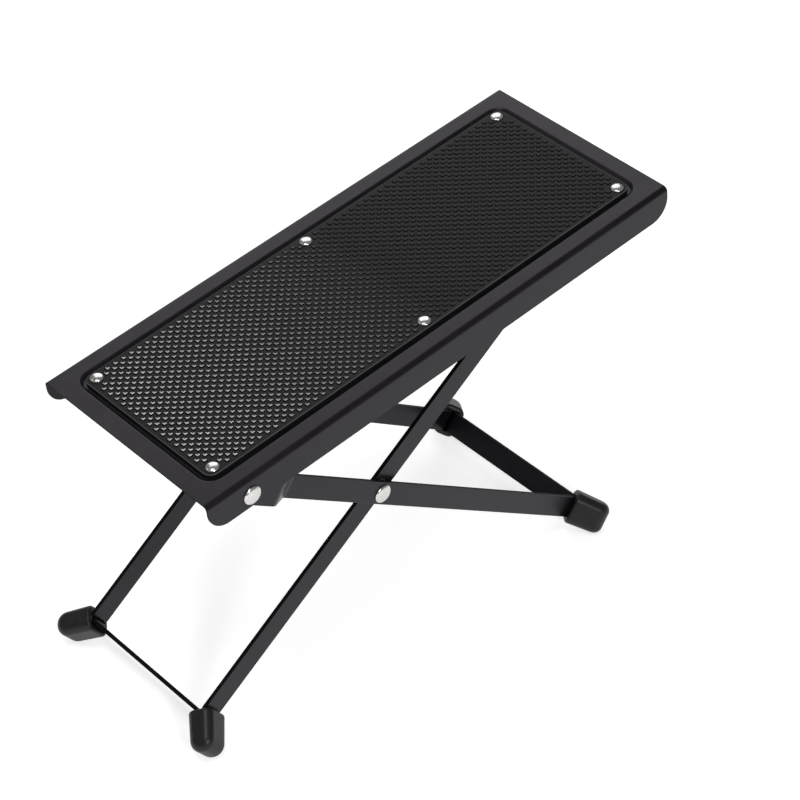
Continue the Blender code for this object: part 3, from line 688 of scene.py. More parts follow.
@dataclass(frozen=True)
class MatRubber(Finish):
    """Dull black mat rubber, with pale paint on the low and near stud flanks as a painted highlight that
    fades towards the high end, and painted shadow round the studs' feet.
    """

    name: str = "mat_rubber"
    colour: tuple[float, float, float] = (0.0075, 0.0070, 0.0078)
    dusty: tuple[float, float, float] = (0.0190, 0.0180, 0.0195)
    # Near-black colour of the painted shadow at the studs' feet and along their low and near sides
    painted_shadow: tuple[float, float, float] = (0.0006, 0.0006, 0.0006)
    # Pale colour of the painted highlight on the stud flanks
    scuffed: tuple[float, float, float] = (0.74, 0.735, 0.75)
    roughness: float = 0.5
    gloss: float = 0.22
    # Roughness and gloss of the painted shadow
    shadow_roughness: float = 0.8
    shadow_gloss: float = 0.02
    # Roughness and gloss of the painted highlight, and where along X it fades out
    highlight_roughness: float = 0.3
    highlight_gloss: float = 0.8
    highlight_until: float = 12 * MM
    highlight_fully: float = -115 * MM
    least_scuffed: float = 0.06
    # Share of the painted highlight on the mat's edge rounding
    edge_scuffed: float = 0.12
    highlight_dust: float = 0.5
    highlight_patchiness: float = 0.2
    uneven: float = 0.1
    dust: Grain = Grain(0.6 * MM, low=0.5, high=0.75)
    blotches: Grain = Grain(9 * MM, detail=3.0, rough=0.6, low=0.3, high=0.7)
    skin: Grain = Grain(0.25 * MM)
    skin_depth: float = 0.008 * MM
    skin_strength: float = 0.5

    def recipe(self, board: NodeBoard, place: Signal) -> Signal:
        """Lay out the mat's nodes: clean rubber, the painted highlight on the flanks over it and painted
        shadow round the studs' feet.

        Args:
            board: the material's node tree.
            place: Object coordinates of the surface.

        Returns:
            The finished shader.
        """
        along = board.node("ShaderNodeSeparateXYZ", {}, {0: place}, "X")
        low_end = board.band(along, self.highlight_until, self.highlight_fully)
        blotches = board.patches(place, self.blotches)
        dust = board.patches(place, self.dust)
        skin = board.bump(board.noise(place, self.skin), self.skin_depth, self.skin_strength)
        clean = board.skin(
            Base_Color=board.blend(dust, self.colour, self.dusty),
            Roughness=self.roughness + dust * self.uneven,
            Specular_IOR_Level=self.gloss,
            Normal=skin,
        )
        # Near-black, dull skin of the painted shadow round the studs' feet
        painted_shadow = board.skin(
            Base_Color=board.blend(dust, self.painted_shadow, self.colour),
            Roughness=self.shadow_roughness + blotches * self.uneven,
            Specular_IOR_Level=self.shadow_gloss,
            Normal=skin,
        )
        # Pale, glossy skin of the painted highlight
        scuffed = board.skin(
            Base_Color=board.blend(dust * self.highlight_dust, self.scuffed, self.dusty),
            Roughness=self.highlight_roughness + dust * self.uneven,
            Specular_IOR_Level=self.highlight_gloss,
            Normal=skin,
        )
        # Share of the painted highlight: full at the low end, fading towards the high end, in blotches
        highlight_along = low_end * ((1.0 - self.highlight_patchiness) + blotches * self.highlight_patchiness) + self.least_scuffed
        # The mat's edge rounding gets a little of the painted highlight too
        share = board.marked(Mark.STUD_FLANK) * highlight_along + board.marked(Mark.MAT_EDGE) * self.edge_scuffed
        # The painted shadow at the studs' feet goes over everything else
        return board.overlay(board.marked(Mark.STUD_FOOT), board.overlay(share, clean, scuffed), painted_shadow)


@dataclass(frozen=True)
class BrightNickel(Finish):
    """Polished nickel plate, slightly uneven, with fine haze."""

    name: str = "bright_nickel"
    colour: tuple[float, float, float] = (0.74, 0.73, 0.72)
    hazy: tuple[float, float, float] = (0.42, 0.41, 0.41)
    roughness: float = 0.16
    uneven: float = 0.15
    haze: Grain = Grain(0.8 * MM, detail=3.0, rough=0.6, low=0.45, high=0.7)
    haze_share: float = 0.6
    dents: Grain = Grain(1.3 * MM)
    dent_depth: float = 0.12 * MM
    dent_strength: float = 0.5

    def recipe(self, board: NodeBoard, place: Signal) -> Signal:
        """Lay out the nickel's nodes.

        Args:
            board: the material's node tree.
            place: Object coordinates of the surface.

        Returns:
            The finished shader.
        """
        haze = board.patches(place, self.haze)
        return board.skin(
            Base_Color=board.blend(haze * self.haze_share, self.colour, self.hazy),
            Roughness=self.roughness + haze * self.uneven,
            Metallic=1.0,
            Normal=board.bump(board.noise(place, self.dents), self.dent_depth, self.dent_strength),
        )


@dataclass(frozen=True)
class ZincPlate(Finish):
    """Dull zinc plate on steel, with drawn lines across the footrest."""

    name: str = "zinc_plate"
    colour: tuple[float, float, float] = (0.58, 0.58, 0.57)
    dull: tuple[float, float, float] = (0.40, 0.40, 0.40)
    roughness: float = 0.32
    uneven: float = 0.1
    spots: Grain = Grain(2.5 * MM, detail=3.0, low=0.4, high=0.7)
    spot_share: float = 0.8
    lines: Grain = Grain(0.12 * MM)
    line_stretch: tuple[float, float, float] = (1.0, 0.05, 1.0)
    line_depth: float = 0.01 * MM
    line_strength: float = 0.4

    def recipe(self, board: NodeBoard, place: Signal) -> Signal:
        """Lay out the zinc's nodes.

        Args:
            board: the material's node tree.
            place: Object coordinates of the surface.

        Returns:
            The finished shader.
        """
        drawn = board.node("ShaderNodeMapping", {}, {"Vector": place, "Scale": self.line_stretch})
        spots = board.patches(place, self.spots)
        return board.skin(
            Base_Color=board.blend(spots * self.spot_share, self.colour, self.dull),
            Roughness=self.roughness + spots * self.uneven,
            Metallic=1.0,
            Normal=board.bump(board.noise(drawn, self.lines), self.line_depth, self.line_strength),
        )


class FinishSet:
    """All finishes of the footrest, each made once, by the slot that it fills."""

    def __init__(self) -> None:
        """Make the materials."""
        paint = SatinPaint().material()
        nickel = BrightNickel().material()
        self.by_slot = {
            Slot.PLATE_PAINT: paint,
            Slot.FRAME_PAINT: paint,
            Slot.MAT_RUBBER: MatRubber().material(),
            Slot.FOOT_RUBBER: FootRubber().material(),
            Slot.RIVET_NICKEL: nickel,
            Slot.ZINC_STEEL: ZincPlate().material(),
        }

    def settle(self, piece: bpy.types.Object, node: str, body: Body, slot: Slot) -> None:
        """Give a finished piece its finish and its body, and let it stand for its node.

        Args:
            piece: the finished piece.
            node: the CAD node that it replaces.
            body: the body that it rides on.
            slot: the slot of its finish.
        """
        piece.data.materials.clear()
        piece.data.materials.append(self.by_slot[slot])
        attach(piece, body.value)
        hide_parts(node)
        LOG.info("%s: %d faces, on %s", piece.name, len(piece.data.polygons), body.value)


@dataclass
class Linkage:
    """Axes of the plate and of the two frames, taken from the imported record."""

    pivot: Vector = field(init=False)
    plate: Matrix = field(init=False)
    rear: Matrix = field(init=False)
    front: Matrix = field(init=False)

    def __post_init__(self) -> None:
        """Work out the axes from the joints, the tread's slope and the rod."""
        record = frame["record"]
        joints = {row["name"]: Vector(row["pos_m"]) for row in record["behaviour"]["joints"]}
        tread = next(row for row in record["mounts"] if row["name"] == "tread")
        low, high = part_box("height_rod")
        self.pivot = joints["rear_leg_hinge"]
        scissor = joints["front_leg_hinge"]
        up = Vector(tread["axis"]).normalized()
        self.plate = self.axes(self.pivot, Y_AXIS.cross(up))
        self.rear = self.axes(self.pivot, scissor - self.pivot)
        self.front = self.axes(scissor, scissor - (low + high) / 2)

    @staticmethod
    def axes(origin: Vector, along: Vector) -> Matrix:
        """Matrix whose X runs along a direction square to Y.

        Args:
            origin: its origin.
            along: direction of its X axis.

        Returns:
            The matrix from these axes to the footrest.
        """
        ahead = along.normalized()
        above = ahead.cross(Y_AXIS)
        turn = Matrix((ahead, Y_AXIS, above)).transposed().to_4x4()
        return Matrix.Translation(origin) @ turn


@dataclass
class Stock:
    """Sheet and strip that the footrest is made from, and the places of its joints."""

    plate_width: float = 111 * MM
    sheet: float = 1 * MM
    strip_width: float = 11.3 * MM
    strip: float = 2 * MM
    fit: float = 0.3 * MM
    pivot_inset: float = 22.8 * MM
    pivot_depth: float = 9.5 * MM
    scissor_reach: float = 98.7 * MM
    rod_reach: float = 123.4 * MM
    joggle: float = 8.8 * MM
    scissor_washer: float = 1.4 * MM
    hole: float = 2.6 * MM
    rod_hole: float = 2.2 * MM
    ear_slit: float = 0.8 * MM
    ear_reach: float = 11.5 * MM

    @property
    def tab_outer(self) -> float:
        """Half width over the rear frame's upper ends."""
        return self.plate_width / 2 - self.sheet - self.fit

    @property
    def rear_outer(self) -> float:
        """Half width over the rear frame's legs."""
        return self.tab_outer - self.joggle

    @property
    def front_outer(self) -> float:
        """Half width over the front frame's legs."""
        return self.rear_outer - self.strip - self.scissor_washer - 2 * self.fit

    @property
    def front_inner(self) -> float:
        """Half width inside the front frame's legs."""
        return self.front_outer - self.strip

    @property
    def ear_half(self) -> float:
        """Half thickness of an ear, which is two runs of strip with a slit between them."""
        return self.ear_slit / 2 + self.strip


def facing_near(along: float, across: float) -> Matrix:
    """Matrix that turns a piece's Z axis to the near side and sets it at a place."""
    return Matrix.Translation((along, across, 0.0)) @ Matrix.Rotation(QUARTER_TURN, 4, "X")


def cross_pin(radius: float, along: float, half: float) -> Workpiece:
    """Make a round cutter that runs across the footrest.

    Args:
        radius: the hole's radius.
        along: its place along X.
        half: half the cutter's length.

    Returns:
        The cutter, left in object mode.
    """
    pin = Workpiece.ring("hole_cutter", radius, PIN_SIDES)
    bpy.ops.mesh.edge_face_add()
    pin.shift(Z_AXIS * -half)
    pin.draw_out(Z_AXIS * 2 * half)
    turn_outwards()
    return pin.laid_at(facing_near(along, 0.0))


@dataclass
class TreadPlate:
    """Plate bent from one sheet, with a pressed recess and two flanges."""

    stock: Stock
    axes: Matrix
    length: float = 273 * MM
    flange: float = 15.6 * MM
    bend: float = 2.4 * MM
    bend_steps: int = 8
    flange_corner: float = 10 * MM
    mat_low_margin: float = 11.4 * MM
    mat_high_margin: float = 11 * MM
    mat_side_margin: float = 11.85 * MM
    mat_corner: float = 4.7 * MM
    corner_steps: int = 12
    recess_depth: float = 1.5 * MM
    recess_margin: float = 1 * MM
    recess_slope: float = 2.1 * MM
    recess_steps: int = 8
    rim_line: float = 0.3 * MM
    edge_ease: float = 0.2 * MM

    @property
    def low(self) -> float:
        """Low end of the plate, measured from the pivot."""
        return -self.stock.pivot_inset

    @property
    def high(self) -> float:
        """High end of the plate."""
        return self.low + self.length

    @property
    def top(self) -> float:
        """Height of the plate's top face above the pivot."""
        return self.stock.pivot_depth

    @property
    def mat_low(self) -> float:
        """Low end of the mat."""
        return self.low + self.mat_low_margin

    @property
    def mat_high(self) -> float:
        """High end of the mat."""
        return self.high - self.mat_high_margin

    @property
    def mat_half(self) -> float:
        """Half width of the mat."""
        return self.stock.plate_width / 2 - self.mat_side_margin

    @property
    def recess_floor(self) -> float:
        """Height of the recess's floor."""
        return self.top - self.recess_depth

    def mat_size(self, margin: float) -> tuple[float, float]:
        """Length and width over the mat with a margin all round it."""
        return self.mat_high - self.mat_low + 2 * margin, 2 * (self.mat_half + margin)

    def mat_middle(self, height: float) -> Vector:
        """Middle of the mat at a height."""
        return Vector(((self.mat_low + self.mat_high) / 2, 0.0, height))

    def build(self) -> bpy.types.Object:
        """Bend and press the plate.

        Returns:
            The finished plate.
        """
        rim = self.recess_margin + self.recess_slope
        plate = Workpiece.sheet("top_plate_dressed", self.mat_size(rim), self.mat_middle(self.top))
        plate.pick_all(Pick.VERTS)
        plate.round_corners(self.mat_corner + rim, self.corner_steps)
        self._press_recess(plate)
        self._add_rim(plate)
        for side in Side:
            self._bend_flange(plate, side)
        turn_outwards()
        plate.wall(self.stock.sheet)
        plate.cut_with(cross_pin(self.stock.hole, 0.0, self.stock.plate_width))
        plate.ease_edges(self.edge_ease)
        # The plate's end faces carry the painted shade of the cut edges
        plate.mark(Mark.CUT_EDGE, lambda middle, normal: abs(normal.x) > FACING)
        return plate.finish(self.axes)

    def _press_recess(self, plate: Workpiece) -> None:
        """Sink the sheet in small steps that follow a soft S.

        Args:
            plate: the sheet, as large as the recess.
        """
        plate.pick_all(Pick.FACES)
        down = 0.0
        for step in range(1, self.recess_steps + 1):
            share = step / self.recess_steps
            drop = self.recess_depth * (1 - math.cos(math.pi * share)) / 2
            plate.inset(self.recess_slope / self.recess_steps, down - drop)
            down = drop

    def _add_rim(self, plate: Workpiece) -> None:
        """Add the flat rim between the recess and the bends and ends.

        Args:
            plate: the sheet with its recess.
        """
        level = self.top - TINY
        plate.pick_none(Pick.VERTS)
        bpy.ops.mesh.primitive_plane_add(size=1.0)
        plate.scale(self.length, 2 * (self.stock.plate_width / 2 - self.bend))
        plate.shift(Vector(((self.low + self.high) / 2, 0.0, self.top)))
        bpy.ops.mesh.delete(type="ONLY_FACE")
        plate.pick(Pick.EDGES, lambda edge: len(edge.link_faces) < 2 and edge.verts[0].co.z > level)
        bpy.ops.mesh.fill(use_beauty=True)
        plate.pick(Pick.FACES, lambda face: min(vert.co.z for vert in face.verts) > level)
        plate.inset(self.rim_line)

    def _bend_flange(self, plate: Workpiece, side: Side) -> None:
        """Bend one long side down and round the flange's two lower corners.

        Args:
            plate: the sheet with its rim.
            side: the long side.
        """
        edge_y = side.value * (self.stock.plate_width / 2 - self.bend)
        plate.pick(Pick.EDGES, lambda edge: lies_at(edge, Axis.Y, edge_y) and span(edge, Axis.X) > TINY)
        centre = Vector((0.0, edge_y, self.top - self.bend))
        plate.swing(-side.value * QUARTER_TURN, centre, X_AXIS, self.bend_steps)
        plate.draw_out(Z_AXIS * (self.bend - self.flange))
        bottom = self.top - self.flange + TINY
        plate.pick(Pick.VERTS, lambda vert: vert.co.z < bottom and vert.co.y * side.value > 0)
        plate.round_corners(self.flange_corner, self.corner_steps)


@dataclass
class StuddedMat:
    """Rubber mat with a plain border and a checkerboard of small blunt pyramids."""

    plate: TreadPlate
    thickness: float = 1.7 * MM
    border: float = 1.9 * MM
    across_count: int = 37
    along_count: int = 111
    stud_margin: float = 0.30 * MM
    stud_foot_height: float = 0.16 * MM
    stud_foot_width: float = 0.05 * MM
    stud_height: float = 0.5 * MM
    stud_slope: float = 0.35 * MM
    stud_ease: float = 0.04 * MM
    stud_shift: float = 0.24 * MM
    stud_pitch: float = 2 * MM
    smooth_limit: float = math.radians(25)
    edge_ease: float = 0.35 * MM
    edge_steps: int = 3
    rivet_relief: float = 4.3 * MM
    rivet_end_inset: float = 5 * MM
    rivet_side_inset: float = 4.25 * MM

    @property
    def bottom(self) -> float:
        """Height of the mat's underside."""
        return self.plate.recess_floor + self.plate.stock.fit

    @property
    def top(self) -> float:
        """Height of the plain border."""
        return self.bottom + self.thickness

    @property
    def square(self) -> tuple[float, float]:
        """Length and width of one square of the field."""
        length, width = self.plate.mat_size(-self.border)
        return length / self.along_count, width / self.across_count

    def rivet_places(self) -> list[Vector]:
        """Places of the six rivets on the mat, near row first.

        Returns:
            Points at the height of the plain border.
        """
        first = self.plate.mat_low + self.rivet_end_inset
        last = self.plate.mat_high - self.rivet_end_inset
        row = self.plate.mat_half - self.rivet_side_inset
        return [
            Vector((along, side.value * row, self.top))
            for side in Side
            for along in (first, (first + last) / 2, last)
        ]

    def build(self) -> bpy.types.Object:
        """Mould the mat.

        Returns:
            The finished mat.
        """
        level = self.top - TINY
        middle = self.plate.mat_middle(self.bottom)
        mat = Workpiece.sheet("rubber_mat_dressed", self.plate.mat_size(0.0), middle)
        mat.pick_all(Pick.VERTS)
        mat.round_corners(self.plate.mat_corner, self.plate.corner_steps)
        mat.pick_all(Pick.FACES)
        mat.draw_out(Z_AXIS * self.thickness)
        mat.pick(Pick.EDGES, lambda edge: all(vert.co.z > level for vert in edge.verts))
        mat.round_edges(self.edge_ease, self.edge_steps)
        mat.pick(Pick.FACES, lambda face: face.normal.z > LEVEL and face.calc_center_median().z > level)
        bpy.ops.mesh.delete(type="ONLY_FACE")
        self._add_field(mat)
        self._raise_studs(mat)
        turn_outwards()
        # The low and near stud flanks carry the painted highlight
        mat.mark(Mark.STUD_FLANK, self._is_flank)
        # The studs' feet and the lines beside them carry the painted shadow
        mat.mark(Mark.STUD_FOOT, self._is_foot)
        # The mat's edge rounding carries a painted highlight
        mat.mark(Mark.MAT_EDGE, self._is_edge)
        return mat.finish(self.plate.axes, self.smooth_limit)

    def _add_field(self, mat: Workpiece) -> None:
        """Close the top with a grid that has one square for each stud and each gap.

        Args:
            mat: the mat without its top face.
        """
        mat.pick_none(Pick.VERTS)
        bpy.ops.mesh.primitive_grid_add(
            x_subdivisions=self.along_count,
            y_subdivisions=self.across_count,
            size=1.0,
        )
        mat.scale(*self.plate.mat_size(-self.border))
        mat.shift(self.plate.mat_middle(self.top))
        mat.pick(Pick.EDGES, lambda edge: len(edge.link_faces) < 2)
        bpy.ops.mesh.fill(use_beauty=True)

    def _raise_studs(self, mat: Workpiece) -> None:
        """Raise every second square of the field into a blunt pyramid.

        Args:
            mat: the mat with its field.
        """
        mat.pick(Pick.FACES, self._carries_stud)
        mat.inset(self.stud_margin, each=True)
        mat.shift(Vector((self.stud_shift, self.stud_shift, 0.0)))
        mat.inset(self.stud_foot_width, self.stud_foot_height, each=True)
        mat.inset(self.stud_slope, self.stud_height - self.stud_foot_height, each=True)
        mat.inset(self.stud_ease, self.stud_ease, each=True)

    def _place_on_field(self, point: Vector) -> tuple[float, float]:
        """Place on the field, counted in squares from its low near corner.

        Args:
            point: a point in the bench's axes.

        Returns:
            Squares along the mat and squares across it.
        """
        length, width = self.square
        low = self.plate.mat_low + self.border
        near = self.border - self.plate.mat_half
        return (point.x - low) / length, (point.y - near) / width

    def _carries_stud(self, face: bmesh.types.BMFace) -> bool:
        """Say whether a face is a square of the field that carries a stud.

        Args:
            face: a face of the mat with its field.

        Returns:
            True for every second square that is clear of the rivets.
        """
        centre = face.calc_center_median()
        length, width = self.square
        whole = len(face.verts) == 4 and abs(face.calc_area() - length * width) < TINY * length
        if not whole or centre.z < self.top - TINY:
            return False
        column, row = (math.floor(count) for count in self._place_on_field(centre))
        clear = min((centre - rivet).length for rivet in self.rivet_places()) > self.rivet_relief
        return clear and (column + row) % 2 == 0

    def _is_flank(self, middle: Vector, normal: Vector) -> bool:
        """Say whether a face is a flank of a stud, on its low or its near side, where the painted highlight
        goes.
        """
        raised = middle.z > self.top + self.stud_foot_height
        return raised and normal.z < LEVEL and min(normal.x, normal.y) < -TILTED

    def _is_foot(self, middle: Vector, normal: Vector) -> bool:
        """Say whether a face is the foot of a stud, or the line along its low and near sides, where the
        painted shadow goes.

        Args:
            middle: the face's middle.
            normal: the face's normal.

        Returns:
            True for a foot or a line.
        """
        if abs(middle.z - self.top) > TINY:
            return self.top < middle.z < self.top + self.stud_foot_height and normal.z < LEVEL
        column, row = self._place_on_field(middle)
        inside = 0 < column < self.along_count and 0 < row < self.across_count
        share = (self.stud_margin + self.stud_shift / 2) / self.stud_pitch
        return inside and min(column % 1, row % 1) < share and max(column % 1, row % 1) < 1 - share

    def _is_edge(self, middle: Vector, normal: Vector) -> bool:
        """Say whether a face lies in the rounding of the mat's upper edge, which carries a painted highlight.
        """
        return middle.z < self.top - TINY and TILTED < normal.z < LEVEL


@dataclass
class Rivet:
    """Domed rivet, turned about its own axis with the seat of its head at zero."""

    head_radius: float
    head_height: float
    shank_radius: float
    tail_radius: float
    tail_height: float
    grip: float
    rings: int = 10
    gap: float = 0.05 * MM
    skirt: float = 0.25 * MM
    skirt_taper: float = 0.985
    tail_taper: float = 0.75

    def build(self, name: str) -> Workpiece:
        """Turn the rivet, head up along Z.

        Args:
            name: the workpiece's name.

        Returns:
            The workpiece, in edit mode.
        """
        rivet = Workpiece.ring(name, self.head_radius, TURNED_SIDES)
        rim = self.gap + self.skirt
        rivet.shift(Z_AXIS * rim)
        rivet.dome(self.head_radius, self.head_height - self.skirt, self.rings)
        rivet.pick(Pick.EDGES, lambda edge: lies_at(edge, Axis.Z, rim))
        rivet.turned_step(-self.skirt, self.skirt_taper)
        rivet.turned_step(0.0, self.shank_radius / (self.head_radius * self.skirt_taper))
        rivet.turned_step(-self.grip - 2 * self.gap)
        rivet.turned_step(0.0, self.tail_radius / self.shank_radius)
        rivet.turned_step(-self.tail_height / 2)
        rivet.turned_step(-self.tail_height / 2, self.tail_taper)
        bpy.ops.mesh.edge_face_add()
        turn_outwards()
        return rivet


@dataclass
class Washer:
    """Flat washer, turned about its own axis and centred on its thickness."""

    radius: float
    hole: float
    thickness: float
    edge_ease: float = 0.12 * MM

    def build(self, name: str) -> Workpiece:
        """Make the washer round the Z axis.

        Args:
            name: the workpiece's name.

        Returns:
            The workpiece, in edit mode.
        """
        disc = Workpiece.ring(name, self.radius, TURNED_SIDES)
        disc.turned_step(0.0, self.hole / self.radius)
        disc.pick_all(Pick.EDGES)
        disc.shift(Z_AXIS * self.thickness / 2)
        turn_outwards()
        disc.pick(Pick.FACES, lambda face: face.normal.z < 0)
        bpy.ops.mesh.flip_normals()
        disc.wall(self.thickness)
        disc.ease_edges(self.edge_ease)
        return disc


@dataclass
class MatRivets:
    """Six small domed rivets through the mat and the plate."""

    mat: StuddedMat
    head_radius: float = 3.05 * MM
    head_height: float = 1.3 * MM
    shank_radius: float = 1.4 * MM
    tail_radius: float = 2.1 * MM
    tail_height: float = 0.5 * MM

    def build(self) -> list[bpy.types.Object]:
        """Set the six rivets.

        Returns:
            The finished rivets, near row first.
        """
        pattern = Rivet(
            head_radius=self.head_radius,
            head_height=self.head_height,
            shank_radius=self.shank_radius,
            tail_radius=self.tail_radius,
            tail_height=self.tail_height,
            grip=self.mat.thickness + self.mat.plate.stock.fit + self.mat.plate.stock.sheet,
        )
        axes = self.mat.plate.axes
        places = self.mat.rivet_places()
        rivets = [pattern.build("mat_rivet_1_dressed").finish(axes @ Matrix.Translation(places[0]))]
        for number, place in enumerate(places[1:], start=2):
            move = axes @ Matrix.Translation(place - places[0]) @ axes.inverted()
            rivets.append(copy_of(rivets[0], f"mat_rivet_{number}_dressed", move))
        return rivets


@dataclass
class NotchRack:
    """Toothed strip under the plate that holds the rod."""

    plate: TreadPlate
    rod_seat_reach: float = 181.9 * MM
    height: float = 6.7 * MM
    thickness: float = 1.5 * MM
    bend: float = 2 * MM
    bend_steps: int = 6
    flange: float = 9.5 * MM
    side_gap: float = 3.4 * MM
    end_margin: float = 4 * MM
    notches: int = 4
    pitch: float = 8.5 * MM
    notch_width: float = 5.3 * MM
    notch_depth: float = 4.4 * MM
    root_share: float = 0.49
    root_steps: int = 8
    tooth_corner: float = 0.6 * MM
    tooth_steps: int = 4
    edge_ease: float = 0.15 * MM

    def build(self) -> bpy.types.Object:
        """Cut and bend the near rack.

        Returns:
            The finished near rack.
        """
        stock = self.plate.stock
        outer = stock.front_inner - self.side_gap
        top = self.plate.recess_floor - stock.sheet - stock.fit
        root = top - self.height + self.notch_depth
        row = self.pitch * (self.notches - 1)
        half = (row + self.notch_width) / 2 + self.end_margin
        edge_y = -outer + self.bend
        width = self.flange - self.bend
        middle = Vector((0.0, edge_y + width / 2, top))
        rack = Workpiece.sheet("notch_rack_near_dressed", (2 * half, width), middle)
        rack.pick(Pick.EDGES, lambda edge: lies_at(edge, Axis.Y, edge_y))
        rack.swing(QUARTER_TURN, Vector((0.0, edge_y, top - self.bend)), X_AXIS, self.bend_steps)
        rack.draw_out(Z_AXIS * (root - top + self.bend))
        self._cut_notches(rack, root, half)
        turn_outwards()
        rack.wall(self.thickness, even=False)
        rack.ease_edges(self.edge_ease)
        return rack.finish(self.plate.axes @ Matrix.Translation((self.rod_seat_reach + row / 2, 0.0, 0.0)))

    def _cut_notches(self, rack: Workpiece, root: float, half: float) -> None:
        """Draw the teeth down between the notches, and round the roots and the tips.

        Args:
            rack: the bent strip, down to the notches' roots.
            root: height of the roots.
            half: half the rack's length.
        """
        centres = [self.pitch * (index - (self.notches - 1) / 2) for index in range(self.notches)]
        starts = [centre - self.notch_width / 2 for centre in centres]
        ends = [centre + self.notch_width / 2 for centre in centres]
        sides = [place for notch in zip(starts, ends) for place in notch]
        for place in sides:
            rack.pick_all(Pick.EDGES)
            bpy.ops.mesh.bisect(plane_co=X_AXIS * place, plane_no=X_AXIS)
        teeth = list(zip([-half, *ends], [*starts, half]))
        rack.pick(
            Pick.EDGES,
            lambda edge: lies_at(edge, Axis.Z, root)
            and any(start < (edge.verts[0].co.x + edge.verts[1].co.x) / 2 < end for start, end in teeth),
        )
        rack.draw_out(Z_AXIS * -self.notch_depth)
        rack.pick(
            Pick.VERTS,
            lambda vert: abs(vert.co.z - root) < TINY and any(abs(vert.co.x - side) < TINY for side in sides),
        )
        rack.round_corners(self.notch_width * self.root_share, self.root_steps)
        tip = root - self.notch_depth + TINY
        rack.pick(Pick.VERTS, lambda vert: vert.co.z < tip)
        rack.round_corners(self.tooth_corner, self.tooth_steps)


@dataclass
class StripBender:
    """Bends flat strip on edge, run by run and bend by bend, starting from its upper end."""

    name: str
    stock: Stock
    start: Vector
    steps_per_turn: int = 56
    least_steps: int = 2
    here: Vector = field(init=False)
    heading: float = field(init=False, default=0.0)
    piece: Workpiece = field(init=False)

    def __post_init__(self) -> None:
        """Set the strip's upright section at the start."""
        self.here = self.start.copy()
        self.piece = Workpiece.sheet(self.name, (self.stock.strip, self.stock.strip_width), ORIGIN)
        to_mode("OBJECT")
        bake_place(self.piece.body, Matrix.Translation(self.start) @ ON_EDGE)
        to_mode("EDIT")
        self.piece.pick_all(Pick.FACES)

    @property
    def ahead(self) -> Vector:
        """Direction of the strip's present end."""
        return Vector((math.cos(self.heading), math.sin(self.heading), 0.0))

    def run(self, length: float) -> None:
        """Draw the strip straight on."""
        self.piece.draw_out(self.ahead * length)
        self.here += self.ahead * length

    def bend(self, angle: float, radius: float) -> None:
        """Bend the strip, to the left where the angle is positive.

        Args:
            angle: how far it turns.
            radius: radius of its middle line.
        """
        left = Vector((-self.ahead.y, self.ahead.x, 0.0))
        centre = self.here + left * math.copysign(radius, angle)
        steps = max(self.least_steps, round(abs(angle) / math.tau * self.steps_per_turn))
        self.piece.swing(angle, centre, Z_AXIS, steps)
        self.here = centre + Matrix.Rotation(angle, 3, "Z") @ (self.here - centre)
        self.heading += angle

    def through(self, corners: list[Vector], radii: list[float]) -> None:
        """Follow a line of corner points, rounding each inner one.

        Args:
            corners: the corner points after the start, the last one being the strip's end.
            radii: radius at each corner but the last.
        """
        points = [self.here.copy(), *corners]
        setbacks = [0.0]
        angles = []
        for before, corner, after, radius in zip(points, points[1:], points[2:], radii):
            arriving = math.atan2(corner.y - before.y, corner.x - before.x)
            leaving = math.atan2(after.y - corner.y, after.x - corner.x)
            angles.append(math.remainder(leaving - arriving, math.tau))
            setbacks.append(radius * math.tan(abs(angles[-1]) / 2))
        setbacks.append(0.0)
        for index, corner in enumerate(corners):
            length = (corner - points[index]).length - setbacks[index] - setbacks[index + 1]
            if length > TINY:
                self.run(length)
            if index < len(angles):
                self.bend(angles[index], radii[index])


